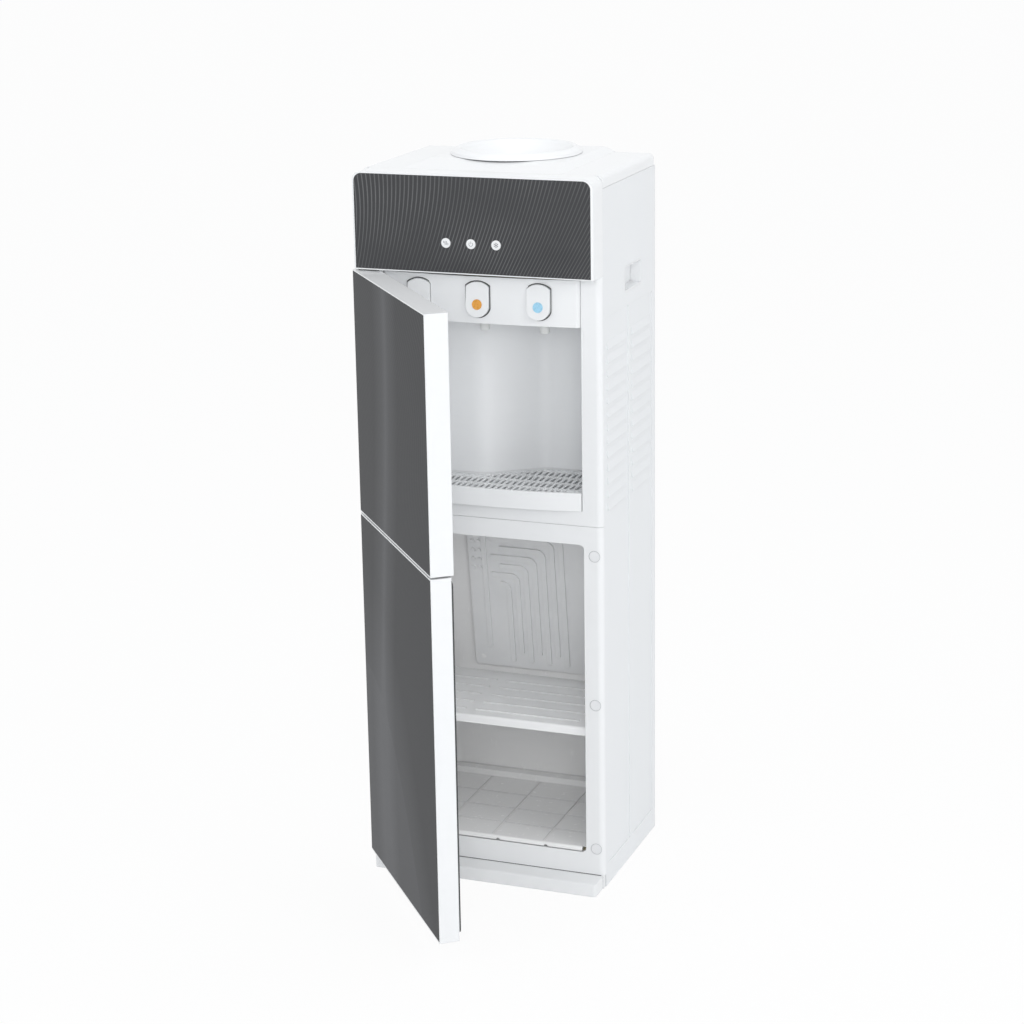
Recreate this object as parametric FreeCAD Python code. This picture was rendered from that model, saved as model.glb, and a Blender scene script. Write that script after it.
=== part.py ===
import FreeCAD, Part
import math
import os

# Floor-standing water dispenser with a small refrigerated cabinet below the taps.
# All lengths are millimetres.  X runs to the right seen from the front, Y to the back, Z up.
# The origin lies on the floor, in the middle of the area between the two side panels.
# Both doors are drawn half open, as the dispenser is shown.

V = FreeCAD.Vector

# ---- Cabinet -------------------------------------------------------------------------------
WIDTH = 330.0            # over the side panels
SIDE_DEPTH = 231.0       # side panels, front edge line to rear edge
FRONT_STEP = 31.0        # doors, control panel and plinth stand this far before the frame
SHEET = 0.8              # steel sheet of the outer panels
SLIP = 0.3               # gap between pieces that are fitted by hand
MOULD = 3.0              # wall of the large mouldings
THIN_MOULD = 2.5         # wall of the smaller mouldings
CORNER_R = 8.0           # upright front corners of the cabinet
FRAME_DEPTH = 14.0       # front frames, front to back
RETURN_DEPTH = 6.0       # lip that runs round inside each frame opening

# ---- Heights -------------------------------------------------------------------------------
PLINTH_H = 18.4
SEAM_Z = 513.0           # joint between the lower and the upper front frame
SEAM_GAP = 0.4
PANEL_Z = 846.5          # underside of the control panel
DECK_Z = 974.6           # top of the cabinet
SIDE_TOP_Z = 958.0       # upper edge of the side panels
PLATFORM_RISE = 6.4      # raised middle of the top cover
LID_FILLET = 7.0

# ---- Cold compartment ----------------------------------------------------------------------
COLD_HALF = 139.0        # half the width of the door opening
COLD_Z0 = 50.0
COLD_Z1 = 487.3
COLD_R = 6.5
LINER = 1.6              # wall of the vacuum-formed liner
LINER_EASE = 0.6         # liner stands back this far behind the edge of the opening
FLOOR_Z = 57.0
STEP_RISE = 8.0          # low step across the back of the floor
STEP_Y = 89.5
FOOT_Y = 108.5           # back wall of the liner, at the step
LEAN = 7.94              # back wall leans forward towards the top, degrees
LINER_CORNER_R = 12.0
TILE_PITCH_X = 75.0      # grooves of the compartment floor
TILE_PITCH_Y = 50.0
GROOVE_W = 3.0
GROOVE_D = 0.8
SILL_GAP = 1.2
DRAIN_X = (10.0, 80.0)   # two small drain notches in the sill
DRAIN_R = 2.6

SHELF_Z = 228.0          # top of the shelf
SHELF_T = 3.2
SHELF_LIP_H = 12.0
SHELF_FRONT_Y = -108.0
SHELF_REAR_GAP = 5.0
SHELF_RIB_PITCH = 30.0
LEDGE_W = 5.0
LEDGE_T = 4.0

PLATE_HALF = 92.0        # cooling plate
PLATE_T = 1.5
PLATE_Z = 236.0          # lower edge
PLATE_LEN = 228.0
PLATE_STAND = 8.0        # distance to the back wall
CHANNEL_W = 7.0
CHANNEL_H = 2.4
CHANNEL_PITCH = 13.6
CHANNEL_COUNT = 7
CHANNEL_X = -33.0        # first upright channel
CHANNEL_R = 9.0
DIMPLE_R = 3.0

# ---- Dispensing bay ------------------------------------------------------------------------
BAY_HALF = 137.5
BAY_Z0 = 533.0
BAY_R = 1.0
BAY_WALL = 2.0
BAY_EASE = 0.5
BAY_SHALLOW_Y = -57.5    # back wall on the left
BAY_DEEP_Y = -4.5        # back wall on the right
BAY_RAMP = (-21.0, 48.0)  # the wall runs back between these two places
BAY_Z1 = 840.8
BULKHEAD_Z0 = 779.0
BULKHEAD_Z1 = 840.5
BULKHEAD_PROUD = 10.0    # middle of the curved tap panel before the frame
BULKHEAD_EDGE = 3.0      # its ends before the frame

TAP_PITCH = 83.0
TAP_Z = 811.0
BUTTON_W = 31.5
BUTTON_Z0 = 787.8
BUTTON_Z1 = 834.2
BUTTON_GAP = 0.5
BUTTON_TRAVEL = 5.0
BUTTON_TOP_PROUD = 1.8   # button before the tap panel, at its top
BUTTON_FOOT_PROUD = 6.0  # and at its foot
MARK_R = 6.8
MARK_Z = 804.6
NOZZLE_R = 6.7
NOZZLE_BORE_R = 4.0
NOZZLE_Z = 766.0
NOZZLE_BACK = 14.0       # nozzle axis behind the frame's front
BARREL_R = 11.0
BARREL_LEN = 36.0
BARREL_Y = 3.0           # front of the barrel behind the frame's front
STEM_R = 4.0
STEM_CLEAR = 0.05
STEM_REACH = 6.0         # stem inside the barrel at rest

TRAY_TOP_Z = 558.0
TRAY_WALL = 2.0
TRAY_BULGE = 14.0
TRAY_END = 1.0
TRAY_GAP = 1.0
GRILLE_T = 2.0
GRILLE_DROP = 1.0        # grille lies this far below the tray's rim
SLOT_PITCH = 8.2
SLOT_W = 4.4
SLOT_LEN = 21.0
SLOT_ROW = 28.0
SLOT_START = 10.0        # first row before the frame's front
SLOT_KEEP = 0.35         # least share of a slot that is still cut at the rim
GRILLE_RIM = 5.0

# ---- Doors ---------------------------------------------------------------------------------
DOOR_W = 326.5
DOOR_T = 30.4
DOOR_WALL = 3.0
DOOR_SIDE_GAP = 1.5      # door edge to the left side of the cabinet
LOWER_DOOR_Z = (22.7, 511.9)
UPPER_DOOR_Z = (514.5, 844.3)
DOOR_OPEN = 50.93        # as drawn, degrees
GLASS_T = 3.0
GLASS_BORDER = 1.6
LEDGE = 8.0              # rib inside the door frame that carries glass and inner panel
INNER_T = 2.5
GASKET_T = 3.2
GASKET_W = 12.0
DIKE_H = 8.0             # raised field of the lower door's inner lining
DIKE_HALF = 129.0

PIN_FROM_SIDE = 5.4      # hinge axis from the door's left edge
PIN_FROM_FACE = 12.7     # hinge axis from the door's outer face
PIN_R = 3.0
PIN_CLEAR = 0.05
PIN_REACH = 11.0
HINGE_T = 1.6
HINGE_W = 21.0
HINGE_BOSS_R = 6.5

# ---- Control panel and top -----------------------------------------------------------------
PANEL_GLASS_T = 2.2
PANEL_BORDER = (3.0, 1.5, 2.2)  # at the sides, below and above the glass
PANEL_R = 13.0
LIGHT_R = 6.4
LIGHT_Z = 886.4
LIGHT_PITCH = 34.5
COLLAR_Y = 26.5          # bottle axis
COLLAR_BASE_R = 88.0
COLLAR_TOP_R = 79.0
COLLAR_RISE = 9.0        # rim above the platform
COLLAR_LIFT_GAP = 0.4
NECK_R = 30.0            # socket for the bottle's neck
NECK_WALL = 2.5
NECK_DEPTH = 62.0

# ---- Side panels ---------------------------------------------------------------------------
FIELD_DEPTH = 1.2
FIELD_Y = ((-97.5, -1.5), (6.5, 102.5))
FIELD_Z = (30.0, 790.0)
LOUVRE_COUNT = 13
LOUVRE_PITCH = 18.0
LOUVRE_Z = 530.0
LOUVRE_H = 11.0
LOUVRE_RISE = 1.7
LOUVRE_INSET = 7.0
GRIP_Y = (-18.5, 53.5)
GRIP_Z = (808.0, 843.0)
GRIP_DEPTH = 17.0
GRIP_WALL = 2.0

# ---- Machine parts -------------------------------------------------------------------------
BACK_BULGE = 19.5        # insulated back stands behind the side panels' edge
COMPRESSOR_X = -78.0
COMPRESSOR_Y = 30.0
COMPRESSOR_R = 58.0
COMPRESSOR_H = 136.0
HOT_X = 92.0
HOT_Y = 55.0
HOT_R = 40.0
HOT_H = 150.0
JACKET_T = 12.0
TANK_R = 70.0
TANK_Z = 806.0
TANK_H = 138.0
TANK_SHELF_Z = 790.0
TANK_JACKET_T = 15.0
TUBE_R = 2.4
CONDENSER_RUNS = 10
CONDENSER_HALF = 118.0
CONDENSER_Z0 = 90.0
CONDENSER_PITCH = 38.0
CONDENSER_STAND = 9.0
BOND = 0.3               # tube sunk into the sheet
SHEET_MARGIN = 10.0
SLOT_COLUMNS = 6
SLOT_MARGIN = 7.0
BRACKET_H = 6.0

# ---- Worked out ----------------------------------------------------------------------------
HALF = WIDTH / 2
FRONT_Y = -SIDE_DEPTH / 2
REAR_Y = SIDE_DEPTH / 2
FACE_Y = FRONT_Y - FRONT_STEP
INNER_HALF = HALF - SHEET - SLIP
PIN_X = -HALF + DOOR_SIDE_GAP + PIN_FROM_SIDE
PIN_Y = FACE_Y + PIN_FROM_FACE
BULKHEAD_FACE_Y = FRONT_Y - BULKHEAD_PROUD
PLATFORM_Z = DECK_Z + PLATFORM_RISE


# ---- Shape helpers -------------------------------------------------------------------------
def block(x0, x1, y0, y1, z0, z1):
    return Part.makeBox(x1 - x0, y1 - y0, z1 - z0, V(x0, y0, z0))


def rod(radius, length, foot, direction=V(0, 0, 1)):
    return Part.makeCylinder(radius, length, V(*foot), direction)


def in_plan(z):
    return lambda a, b: V(a, b, z)


def in_front(y):
    return lambda a, b: V(a, y, b)


def in_side(x):
    return lambda a, b: V(x, a, b)


def outline(corners, place):
    """Closed wire through flat corners (a, b, radius); place gives each flat point its place in space."""
    edges = []
    last = None
    first = None
    count = len(corners)
    for i, (a, b, radius) in enumerate(corners):
        here = V(a, b, 0)
        arriving = here - V(*corners[i - 1][:2], 0)
        leaving = V(*corners[(i + 1) % count][:2], 0) - here
        arriving.normalize()
        leaving.normalize()
        turn = arriving.getAngle(leaving)
        start = here
        end = here
        if radius > 0:
            tangent = radius * math.tan(turn / 2)
            start = here - arriving * tangent
            end = here + leaving * tangent
        if last is not None and (start - last).Length > 1e-6:
            edges.append(Part.makeLine(place(last.x, last.y), place(start.x, start.y)))
        if radius > 0:
            inward = leaving - arriving
            inward.normalize()
            middle = here + inward * (radius / math.cos(turn / 2) - radius)
            arc = Part.Arc(place(start.x, start.y), place(middle.x, middle.y), place(end.x, end.y))
            edges.append(arc.toShape())
        if first is None:
            first = start
        last = end
    if (first - last).Length > 1e-6:
        edges.append(Part.makeLine(place(last.x, last.y), place(first.x, first.y)))
    return Part.Wire(edges)


def pushed(corners, place, direction):
    return Part.Face(outline(corners, place)).extrude(V(*direction))


def rectangle(a0, a1, b0, b1, low=0.0, high=0.0):
    """Flat corners of a rectangle; low and high are the radii of its lower and upper corners."""
    return [(a0, b0, low), (a1, b0, low), (a1, b1, high), (a0, b1, high)]


def turned(profile, axis_x, axis_y):
    """Solid of revolution from (radius, z) corners about an upright axis."""
    points = [V(axis_x + r, axis_y, z) for r, z in profile]
    wire = Part.makePolygon(points + [points[0]])
    return Part.Face(wire).revolve(V(axis_x, axis_y, 0), V(0, 0, 1), 360)


def arc_front(half, end_y, middle_y, back_y, z, height, end_r=0.0):
    """Plan shape with a bowed front, straight sides and a straight back, pushed up."""
    left = V(-half + end_r, end_y, z)
    right = V(half - end_r, end_y, z)
    edges = [Part.Arc(left, V(0, middle_y, z), right).toShape()]
    if end_r > 0:
        edges.append(Part.makeLine(right, V(half, end_y + end_r, z)))
    edges.append(Part.makeLine(V(half, end_y + end_r, z), V(half, back_y, z)))
    edges.append(Part.makeLine(V(half, back_y, z), V(-half, back_y, z)))
    edges.append(Part.makeLine(V(-half, back_y, z), V(-half, end_y + end_r, z)))
    if end_r > 0:
        edges.append(Part.makeLine(V(-half, end_y + end_r, z), left))
    return Part.Face(Part.Wire(edges)).extrude(V(0, 0, height))


def joined(shapes):
    return shapes[0].multiFuse(shapes[1:]).removeSplitter()


def mirrored(shape):
    return shape.mirror(V(0, 0, 0), V(1, 0, 0))


def swung(shape):
    """A door piece drawn closed, turned open about its hinge pins."""
    opened = shape.copy()
    opened.rotate(V(PIN_X, PIN_Y, 0), V(0, 0, 1), -DOOR_OPEN)
    return opened


def save(name, shape):
    shape.exportStep("parts/" + name + ".step")


# ---- Base and front frames -----------------------------------------------------------------
def base_moulding():
    """Moulded base: a ribbed tray under the cabinet with the plinth in front of it."""
    rear = REAR_Y - SHEET - SLIP
    tray = block(-INNER_HALF, INNER_HALF, FRONT_Y, rear, 0, PLINTH_H)
    plinth_half = HALF - PLINTH_INSET
    nose = pushed(rectangle(-plinth_half, plinth_half, FACE_Y, FRONT_Y, 4.0), in_plan(0), (0, 0, PLINTH_H))
    section = [(FACE_Y, 0, 0), (FRONT_Y, 0, 0), (FRONT_Y, PLINTH_H, 0), (FACE_Y, PLINTH_H, 3.0)]
    nose = nose.common(pushed(section, in_side(-HALF), (WIDTH, 0, 0)))
    body = tray.fuse(nose)
    columns = 4
    rows = 3
    cell_x = (2 * INNER_HALF - MOULD) / columns
    cell_y = (rear - FRONT_Y - MOULD) / rows
    for i in range(columns):
        for j in range(rows):
            x0 = -INNER_HALF + MOULD + i * cell_x
            y0 = FRONT_Y + MOULD + j * cell_y
            body = body.cut(block(x0, x0 + cell_x - MOULD, y0, y0 + cell_y - MOULD, MOULD, PLINTH_H))
    return body.removeSplitter()


PLINTH_INSET = 2.5


def front_frame(z0, z1, opening):
    """Moulded frame with rounded front corners, hollow at the back, round one opening."""
    tongue = FRONT_Y + CORNER_R + 0.2
    back = FRONT_Y + FRAME_DEPTH
    plan = [
        (-HALF, FRONT_Y, CORNER_R), (HALF, FRONT_Y, CORNER_R), (HALF, tongue, 0),
        (INNER_HALF, tongue, 0), (INNER_HALF, back, 0),
        (-INNER_HALF, back, 0), (-INNER_HALF, tongue, 0), (-HALF, tongue, 0),
    ]
    body = pushed(plan, in_plan(z0), (0, 0, z1 - z0))
    inner = INNER_HALF - MOULD
    lip = [(a + math.copysign(THIN_MOULD, a), b + (THIN_MOULD if b > (z0 + z1) / 2 else -THIN_MOULD),
            r + THIN_MOULD if r > 0 else 0) for a, b, r in opening]
    behind_skin = FRONT_Y + MOULD
    hollow = block(-inner, inner, behind_skin, FRONT_Y + RETURN_DEPTH, z0 + MOULD, z1 - MOULD)
    hollow = hollow.cut(pushed(lip, in_front(FRONT_Y), (0, FRAME_DEPTH, 0)))
    body = body.cut(hollow)
    body = body.cut(block(-inner, inner, FRONT_Y + RETURN_DEPTH, back, z0 + MOULD, z1 - MOULD))
    return body.cut(pushed(opening, in_front(FRONT_Y - 1), (0, FRAME_DEPTH + 2, 0)))


CAP_X = HALF - 11.4
CAP_Z = (57.0, 264.7, 473.0)
CAP_R = 7.2
CAP_T = 1.6
CAP_PROUD = 0.4


def lower_frame():
    opening = rectangle(-COLD_HALF, COLD_HALF, COLD_Z0, COLD_Z1, COLD_R, COLD_R)
    body = front_frame(PLINTH_H, SEAM_Z, opening)
    for z in CAP_Z:
        seat = rod(CAP_R + 0.1, CAP_T - CAP_PROUD, (CAP_X, FRONT_Y, z), V(0, 1, 0))
        body = body.cut(seat)
    return body.cut(hinge_leaf(*MIDDLE_LEAF_Z))


def screw_cap(z):
    """Domed cap that closes one screw hole of the frame."""
    foot = (CAP_X, FRONT_Y - CAP_PROUD, z)
    cap = rod(CAP_R, CAP_T, foot, V(0, 1, 0))
    rim = [e for e in cap.Edges if abs(e.BoundBox.YMax - foot[1]) < 1e-6 and len(e.Vertexes) == 1]
    return cap.makeChamfer(CAP_PROUD * 0.9, rim)


def upper_frame():
    opening = rectangle(-BAY_HALF, BAY_HALF, BAY_Z0, BAY_Z1, BAY_R, BAY_R)
    body = front_frame(SEAM_Z + SEAM_GAP, PANEL_Z - 0.2, opening)
    return body.cut(hinge_leaf(*MIDDLE_LEAF_Z))


# ---- Hinges --------------------------------------------------------------------------------
MIDDLE_LEAF_Z = (LOWER_DOOR_Z[1] + SLIP, UPPER_DOOR_Z[0] - SLIP)


def hinge_leaf(z0, z1, back=10.0):
    """Plate of the middle hinge, which passes back through the joint between the frames."""
    left = -HALF + DOOR_SIDE_GAP + 0.5
    plan = [
        (left, PIN_Y - HINGE_BOSS_R, 4.0), (left + HINGE_W, PIN_Y - HINGE_BOSS_R, 4.0),
        (left + HINGE_W, FRONT_Y + back, 0), (left, FRONT_Y + back, 0),
    ]
    return pushed(plan, in_plan(z0), (0, 0, z1 - z0))


def hinge_pin(z0, z1):
    return rod(PIN_R, z1 - z0, (PIN_X, PIN_Y, z0))


def bottom_hinge():
    leaf = hinge_leaf(PLINTH_H, PLINTH_H + HINGE_T, -SLIP)
    top = LOWER_DOOR_Z[0] - SLIP
    collar = rod(HINGE_BOSS_R - 1, top - PLINTH_H, (PIN_X, PIN_Y, PLINTH_H))
    return joined([leaf, collar, hinge_pin(PLINTH_H, LOWER_DOOR_Z[0] + PIN_REACH)])


def middle_hinge():
    leaf = hinge_leaf(*MIDDLE_LEAF_Z)
    return joined([leaf, hinge_pin(LOWER_DOOR_Z[1] - PIN_REACH, UPPER_DOOR_Z[0] + PIN_REACH)])


def top_hinge():
    leaf = hinge_leaf(PANEL_Z - HINGE_T, PANEL_Z, -SLIP)
    return joined([leaf, hinge_pin(UPPER_DOOR_Z[1] - PIN_REACH, PANEL_Z)])


# ---- Cold compartment ----------------------------------------------------------------------
def back_wall_y(z):
    """Inner face of the liner's leaning back wall at height z."""
    return FOOT_Y - (z - FLOOR_Z - STEP_RISE) * math.tan(math.radians(LEAN))


LINER_HALF = COLD_HALF + LINER_EASE
LINER_TOP = COLD_Z1 + LINER_EASE
LINER_FRONT_Y = FRONT_Y + RETURN_DEPTH


def liner_outside():
    wall_y = LINER / math.cos(math.radians(LEAN))
    z0 = FLOOR_Z - LINER
    z1 = LINER_TOP + LINER
    section = [
        (LINER_FRONT_Y, z0, 0), (back_wall_y(z0) + wall_y, z0, 0),
        (back_wall_y(z1) + wall_y, z1, 0), (LINER_FRONT_Y, z1, 0),
    ]
    half = LINER_HALF + LINER
    return pushed(section, in_side(-half), (2 * half, 0, 0))


def liner():
    """Vacuum-formed lining of the cold compartment, with its tiled floor and shelf ledges."""
    section = [
        (LINER_FRONT_Y - 1, FLOOR_Z, 0), (STEP_Y, FLOOR_Z, 0), (STEP_Y + 3, FLOOR_Z + STEP_RISE, 0),
        (FOOT_Y, FLOOR_Z + STEP_RISE, 0), (back_wall_y(LINER_TOP), LINER_TOP, 0),
        (LINER_FRONT_Y - 1, LINER_TOP, 0),
    ]
    cavity = pushed(section, in_side(-LINER_HALF), (2 * LINER_HALF, 0, 0))
    tall = [e for e in cavity.Edges if e.BoundBox.ZLength > 300 and e.BoundBox.YMax > LINER_FRONT_Y]
    cavity = cavity.makeFillet(LINER_CORNER_R, tall)
    body = liner_outside().cut(cavity)

    sill_z0 = COLD_Z0 + SILL_GAP
    sill = [
        (FRONT_Y + 0.6, sill_z0, 0), (LINER_FRONT_Y + 2, sill_z0, 0), (LINER_FRONT_Y + 2, FLOOR_Z, 0),
        (FRONT_Y + 0.6, FLOOR_Z, 3.0),
    ]
    sill_half = COLD_HALF - COLD_R
    sill = pushed(sill, in_side(-sill_half), (2 * sill_half, 0, 0))
    for x in DRAIN_X:
        sill = sill.cut(rod(DRAIN_R, 4.0, (x, FRONT_Y, sill_z0), V(0, 1, 0)))
    pieces = [body, sill]
    ledge_z = SHELF_Z - SHELF_LIP_H + 1.5 - SLIP - LEDGE_T
    for side in (-1, 1):
        inner = side * (LINER_HALF - LEDGE_W)
        outer = side * (LINER_HALF + LINER / 2)
        ledge = block(min(inner, outer), max(inner, outer), LINER_FRONT_Y + 12, STEP_Y - 10,
                      ledge_z, ledge_z + LEDGE_T)
        pieces.append(ledge)
    body = joined(pieces)

    groove_z = FLOOR_Z - GROOVE_D
    for i in (-1, 0, 1):
        x = i * TILE_PITCH_X
        body = body.cut(block(x - GROOVE_W / 2, x + GROOVE_W / 2, LINER_FRONT_Y + 2, STEP_Y - 2,
                              groove_z, FLOOR_Z + 1))
    for i in (1, 2, 3):
        y = FRONT_Y + i * TILE_PITCH_Y
        body = body.cut(block(-LINER_HALF + 4, LINER_HALF - 4, y - GROOVE_W / 2, y + GROOVE_W / 2,
                              groove_z, FLOOR_Z + 1))
    return body


def foam():
    """Foamed insulation between the liner and the outer skin."""
    front = FRONT_Y + FRAME_DEPTH
    half = INNER_HALF - FIELD_DEPTH
    core = block(-half, half, front, REAR_Y - 2 * SHEET, PLINTH_H, SEAM_Z)
    bump = block(-BACK_HALF + SHEET, BACK_HALF - SHEET, REAR_Y - 2 * SHEET, REAR_Y + BACK_BULGE - SHEET,
                 BACK_Z[0] + SHEET, BACK_Z[1] - SHEET)
    return core.fuse(bump).cut(liner_outside()).removeSplitter()


def leaned(shape):
    """A piece drawn upright against the back wall, tipped to the wall's lean."""
    tipped = shape.copy()
    tipped.rotate(V(0, back_wall_y(PLATE_Z), PLATE_Z), V(1, 0, 0), LEAN)
    return tipped


def cooling_plate():
    """Bonded aluminium plate with nested, raised refrigerant channels and four stand-offs."""
    back_y = back_wall_y(PLATE_Z) - PLATE_STAND
    face_y = back_y - PLATE_T
    top = PLATE_Z + PLATE_LEN
    sheet = pushed(rectangle(-PLATE_HALF, PLATE_HALF, PLATE_Z, top, 5.0, 5.0), in_front(face_y), (0, PLATE_T, 0))
    pieces = [sheet]
    for i in range(CHANNEL_COUNT):
        x = CHANNEL_X + i * CHANNEL_PITCH
        bend_z = top - 14.0 - (CHANNEL_COUNT - 1 - i) * CHANNEL_PITCH
        foot_z = PLATE_Z + 10.0 + (i % 2) * CHANNEL_PITCH
        left_x = CHANNEL_X - 12.0 - (CHANNEL_PITCH if i % 2 else 0)
        half = CHANNEL_W / 2
        run = [
            (x - half, foot_z, 2.5), (x + half, foot_z, 2.5), (x + half, bend_z + half, CHANNEL_R + half),
            (left_x, bend_z + half, 2.5), (left_x, bend_z - half, 2.5), (x - half, bend_z - half, CHANNEL_R - half),
        ]
        pieces.append(pushed(run, in_front(face_y - CHANNEL_H), (0, CHANNEL_H + PLATE_T / 2, 0)))
    riser_x = CHANNEL_X - 34.0
    half = CHANNEL_W / 2
    riser = [
        (riser_x - half, PLATE_Z + 30, 2.5), (riser_x + half, PLATE_Z + 30, 2.5),
        (riser_x + half, top - 12, 2.5), (riser_x - half, top - 12, 2.5),
    ]
    pieces.append(pushed(riser, in_front(face_y - CHANNEL_H), (0, CHANNEL_H + PLATE_T / 2, 0)))
    for column in range(2):
        for row in range(5):
            x = -PLATE_HALF + 8.0 + column * 9.0
            z = top - 20.0 - row * CHANNEL_PITCH
            pieces.append(rod(DIMPLE_R, CHANNEL_H, (x, face_y - CHANNEL_H * 0.6, z), V(0, 1, 0)))
    for x in (-PLATE_HALF + 12, PLATE_HALF - 12):
        for z in (PLATE_Z + 12, top - 24):
            pieces.append(rod(4.0, PLATE_STAND - 0.3, (x, back_y, z), V(0, 1, 0)))
    return leaned(joined(pieces))


def shelf():
    """Moulded shelf with a deep front lip, side flanges and raised cross ribs."""
    half = LINER_HALF - 0.6
    rear = back_wall_y(SHELF_Z) - PLATE_STAND - PLATE_T - CHANNEL_H - SHELF_REAR_GAP
    plate = block(-half, half, SHELF_FRONT_Y, rear, SHELF_Z - SHELF_T, SHELF_Z)
    lip = [
        (SHELF_FRONT_Y, SHELF_Z - SHELF_LIP_H, 1.0), (SHELF_FRONT_Y + 4, SHELF_Z - SHELF_LIP_H, 1.0),
        (SHELF_FRONT_Y + 4, SHELF_Z, 0), (SHELF_FRONT_Y, SHELF_Z, 3.0),
    ]
    plate = plate.cut(block(-half - 1, half + 1, SHELF_FRONT_Y - 1, SHELF_FRONT_Y + 4, 0, SHELF_Z + 1))
    front = COLD_HALF - 1.5
    pieces = [plate, pushed(lip, in_side(-front), (2 * front, 0, 0))]
    for side in (-1, 1):
        x0 = side * half if side < 0 else half - 3.0
        pieces.append(block(x0, x0 + 3.0, LINER_FRONT_Y + 4, rear, SHELF_Z - SHELF_LIP_H + 1.5, SHELF_Z))
    count = int((rear - SHELF_FRONT_Y - 30) / SHELF_RIB_PITCH) + 1
    for i in range(count):
        y = SHELF_FRONT_Y + 22 + i * SHELF_RIB_PITCH
        for x0, x1 in ((-120.0, -45.0), (-30.0, 120.0)):
            pieces.append(block(x0, x1, y - 2.2, y + 2.2, SHELF_Z - SHELF_T, SHELF_Z + 1.4))
    return joined(pieces)


# ---- Dispensing bay ------------------------------------------------------------------------
def bay_plan(inset, front_y):
    """Plan of the bay: shallow on the left, running back to a deeper recess on the right."""
    half = BAY_HALF + BAY_EASE - inset
    shallow = BAY_SHALLOW_Y - inset
    deep = BAY_DEEP_Y - inset
    x0, x1 = BAY_RAMP
    shift = inset * math.tan(math.atan2(deep - shallow, x1 - x0) / 2)
    return [
        (half, front_y, 0), (half, deep, 16.0 - inset), (x1 + shift, deep, 35.0 - inset),
        (x0 + shift, shallow, 45.0 + inset), (-half, shallow, 14.0 - inset), (-half, front_y, 0),
    ]


def bay_liner():
    """Moulded lining of the dispensing bay, open at the front and the top."""
    front = FRONT_Y + RETURN_DEPTH
    shell = pushed(bay_plan(-BAY_WALL, front), in_plan(BAY_Z0 - BAY_WALL), (0, 0, BULKHEAD_Z0 - BAY_Z0 + BAY_WALL))
    shell = shell.cut(pushed(bay_plan(0, front - 1), in_plan(BAY_Z0), (0, 0, BULKHEAD_Z0)))
    pieces = [shell]
    for x in (-118.0, -40.0, 40.0, 118.0):
        pieces.append(block(x - 2, x + 2, FRONT_Y + FRAME_DEPTH + 1, BAY_SHALLOW_Y - 6, MID_SHELF_Z + SHEET, BAY_Z0 - 1))
    return joined(pieces)


def button_outline(grow):
    """Front outline of a tap button about x = 0: flat sides, shallow top arc, round foot."""
    half = BUTTON_W / 2 + grow
    low = BUTTON_Z0 - grow
    high = BUTTON_Z1 + grow
    foot = 12.3
    crown = 6.3
    y = FRONT_Y - 40
    left_low = V(-half, y, low + foot)
    right_low = V(half, y, low + foot)
    left_high = V(-half, y, high - crown)
    right_high = V(half, y, high - crown)
    return Part.Wire([
        Part.Arc(left_low, V(0, y, low), right_low).toShape(),
        Part.makeLine(right_low, right_high),
        Part.Arc(right_high, V(0, y, high), left_high).toShape(),
        Part.makeLine(left_high, left_low),
    ])


def tap_x(index):
    return (index - 1) * TAP_PITCH


def bulkhead_face_y(x):
    """Front of the bowed tap panel at x."""
    sag = BULKHEAD_PROUD - BULKHEAD_EDGE
    return BULKHEAD_FACE_Y + sag * (x / BAY_HALF) ** 2


def bulkhead():
    """Bowed tap panel with its windows, and the ceiling of the bay behind it."""
    half = BAY_HALF - SLIP
    wall = THIN_MOULD
    edge_y = FRONT_Y - BULKHEAD_EDGE
    height = BULKHEAD_Z1 - BULKHEAD_Z0
    outer = arc_front(half, edge_y, BULKHEAD_FACE_Y, FRONT_Y + 30, BULKHEAD_Z0, height, 5.0)
    inner = arc_front(half - wall, edge_y + wall, BULKHEAD_FACE_Y + wall, FRONT_Y + 31,
                      BULKHEAD_Z0 + wall, height, 5.0)
    ceiling = block(-half, half, FRONT_Y + 29, BAY_DEEP_Y + BAY_WALL, BULKHEAD_Z0, BULKHEAD_Z0 + wall)
    body = outer.cut(inner).fuse(ceiling)
    for i in range(3):
        window = Part.Face(button_outline(BUTTON_GAP)).extrude(V(0, 40, 0))
        window.translate(V(tap_x(i), 0, 0))
        body = body.cut(window)
        body = body.cut(rod(NOZZLE_R + SLIP, 12, (tap_x(i), FRONT_Y + NOZZLE_BACK, BULKHEAD_Z0 - 4)))
    return body.removeSplitter()


def button_slab(face_y, front_offset, depth):
    """Wedge whose front leans out towards the foot of the button."""
    top_y = face_y - BUTTON_TOP_PROUD + front_offset
    foot_y = face_y - BUTTON_FOOT_PROUD + front_offset
    section = [
        (foot_y, BUTTON_Z0 - 1, 0), (depth, BUTTON_Z0 - 1, 0), (depth, BUTTON_Z1 + 1, 0),
        (top_y, BUTTON_Z1 + 1, 0),
    ]
    return pushed(section, in_side(-BUTTON_W), (2 * BUTTON_W, 0, 0))


def tap_button(index):
    """Push button of one tap with a round seat for its coloured mark and a short stem."""
    x = tap_x(index)
    face_y = bulkhead_face_y(x)
    back_y = face_y + THIN_MOULD + 1.5
    full = Part.Face(button_outline(0)).extrude(V(0, 80, 0))
    body = full.common(button_slab(face_y, 0, back_y))
    body = body.cut(mark_solid(face_y))
    stem = rod(STEM_R, FRONT_Y + BARREL_Y + STEM_REACH - back_y + 1, (0, back_y - 1, TAP_Z), V(0, 1, 0))
    body = joined([body, stem])
    body.translate(V(x, 0, 0))
    return body


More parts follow.
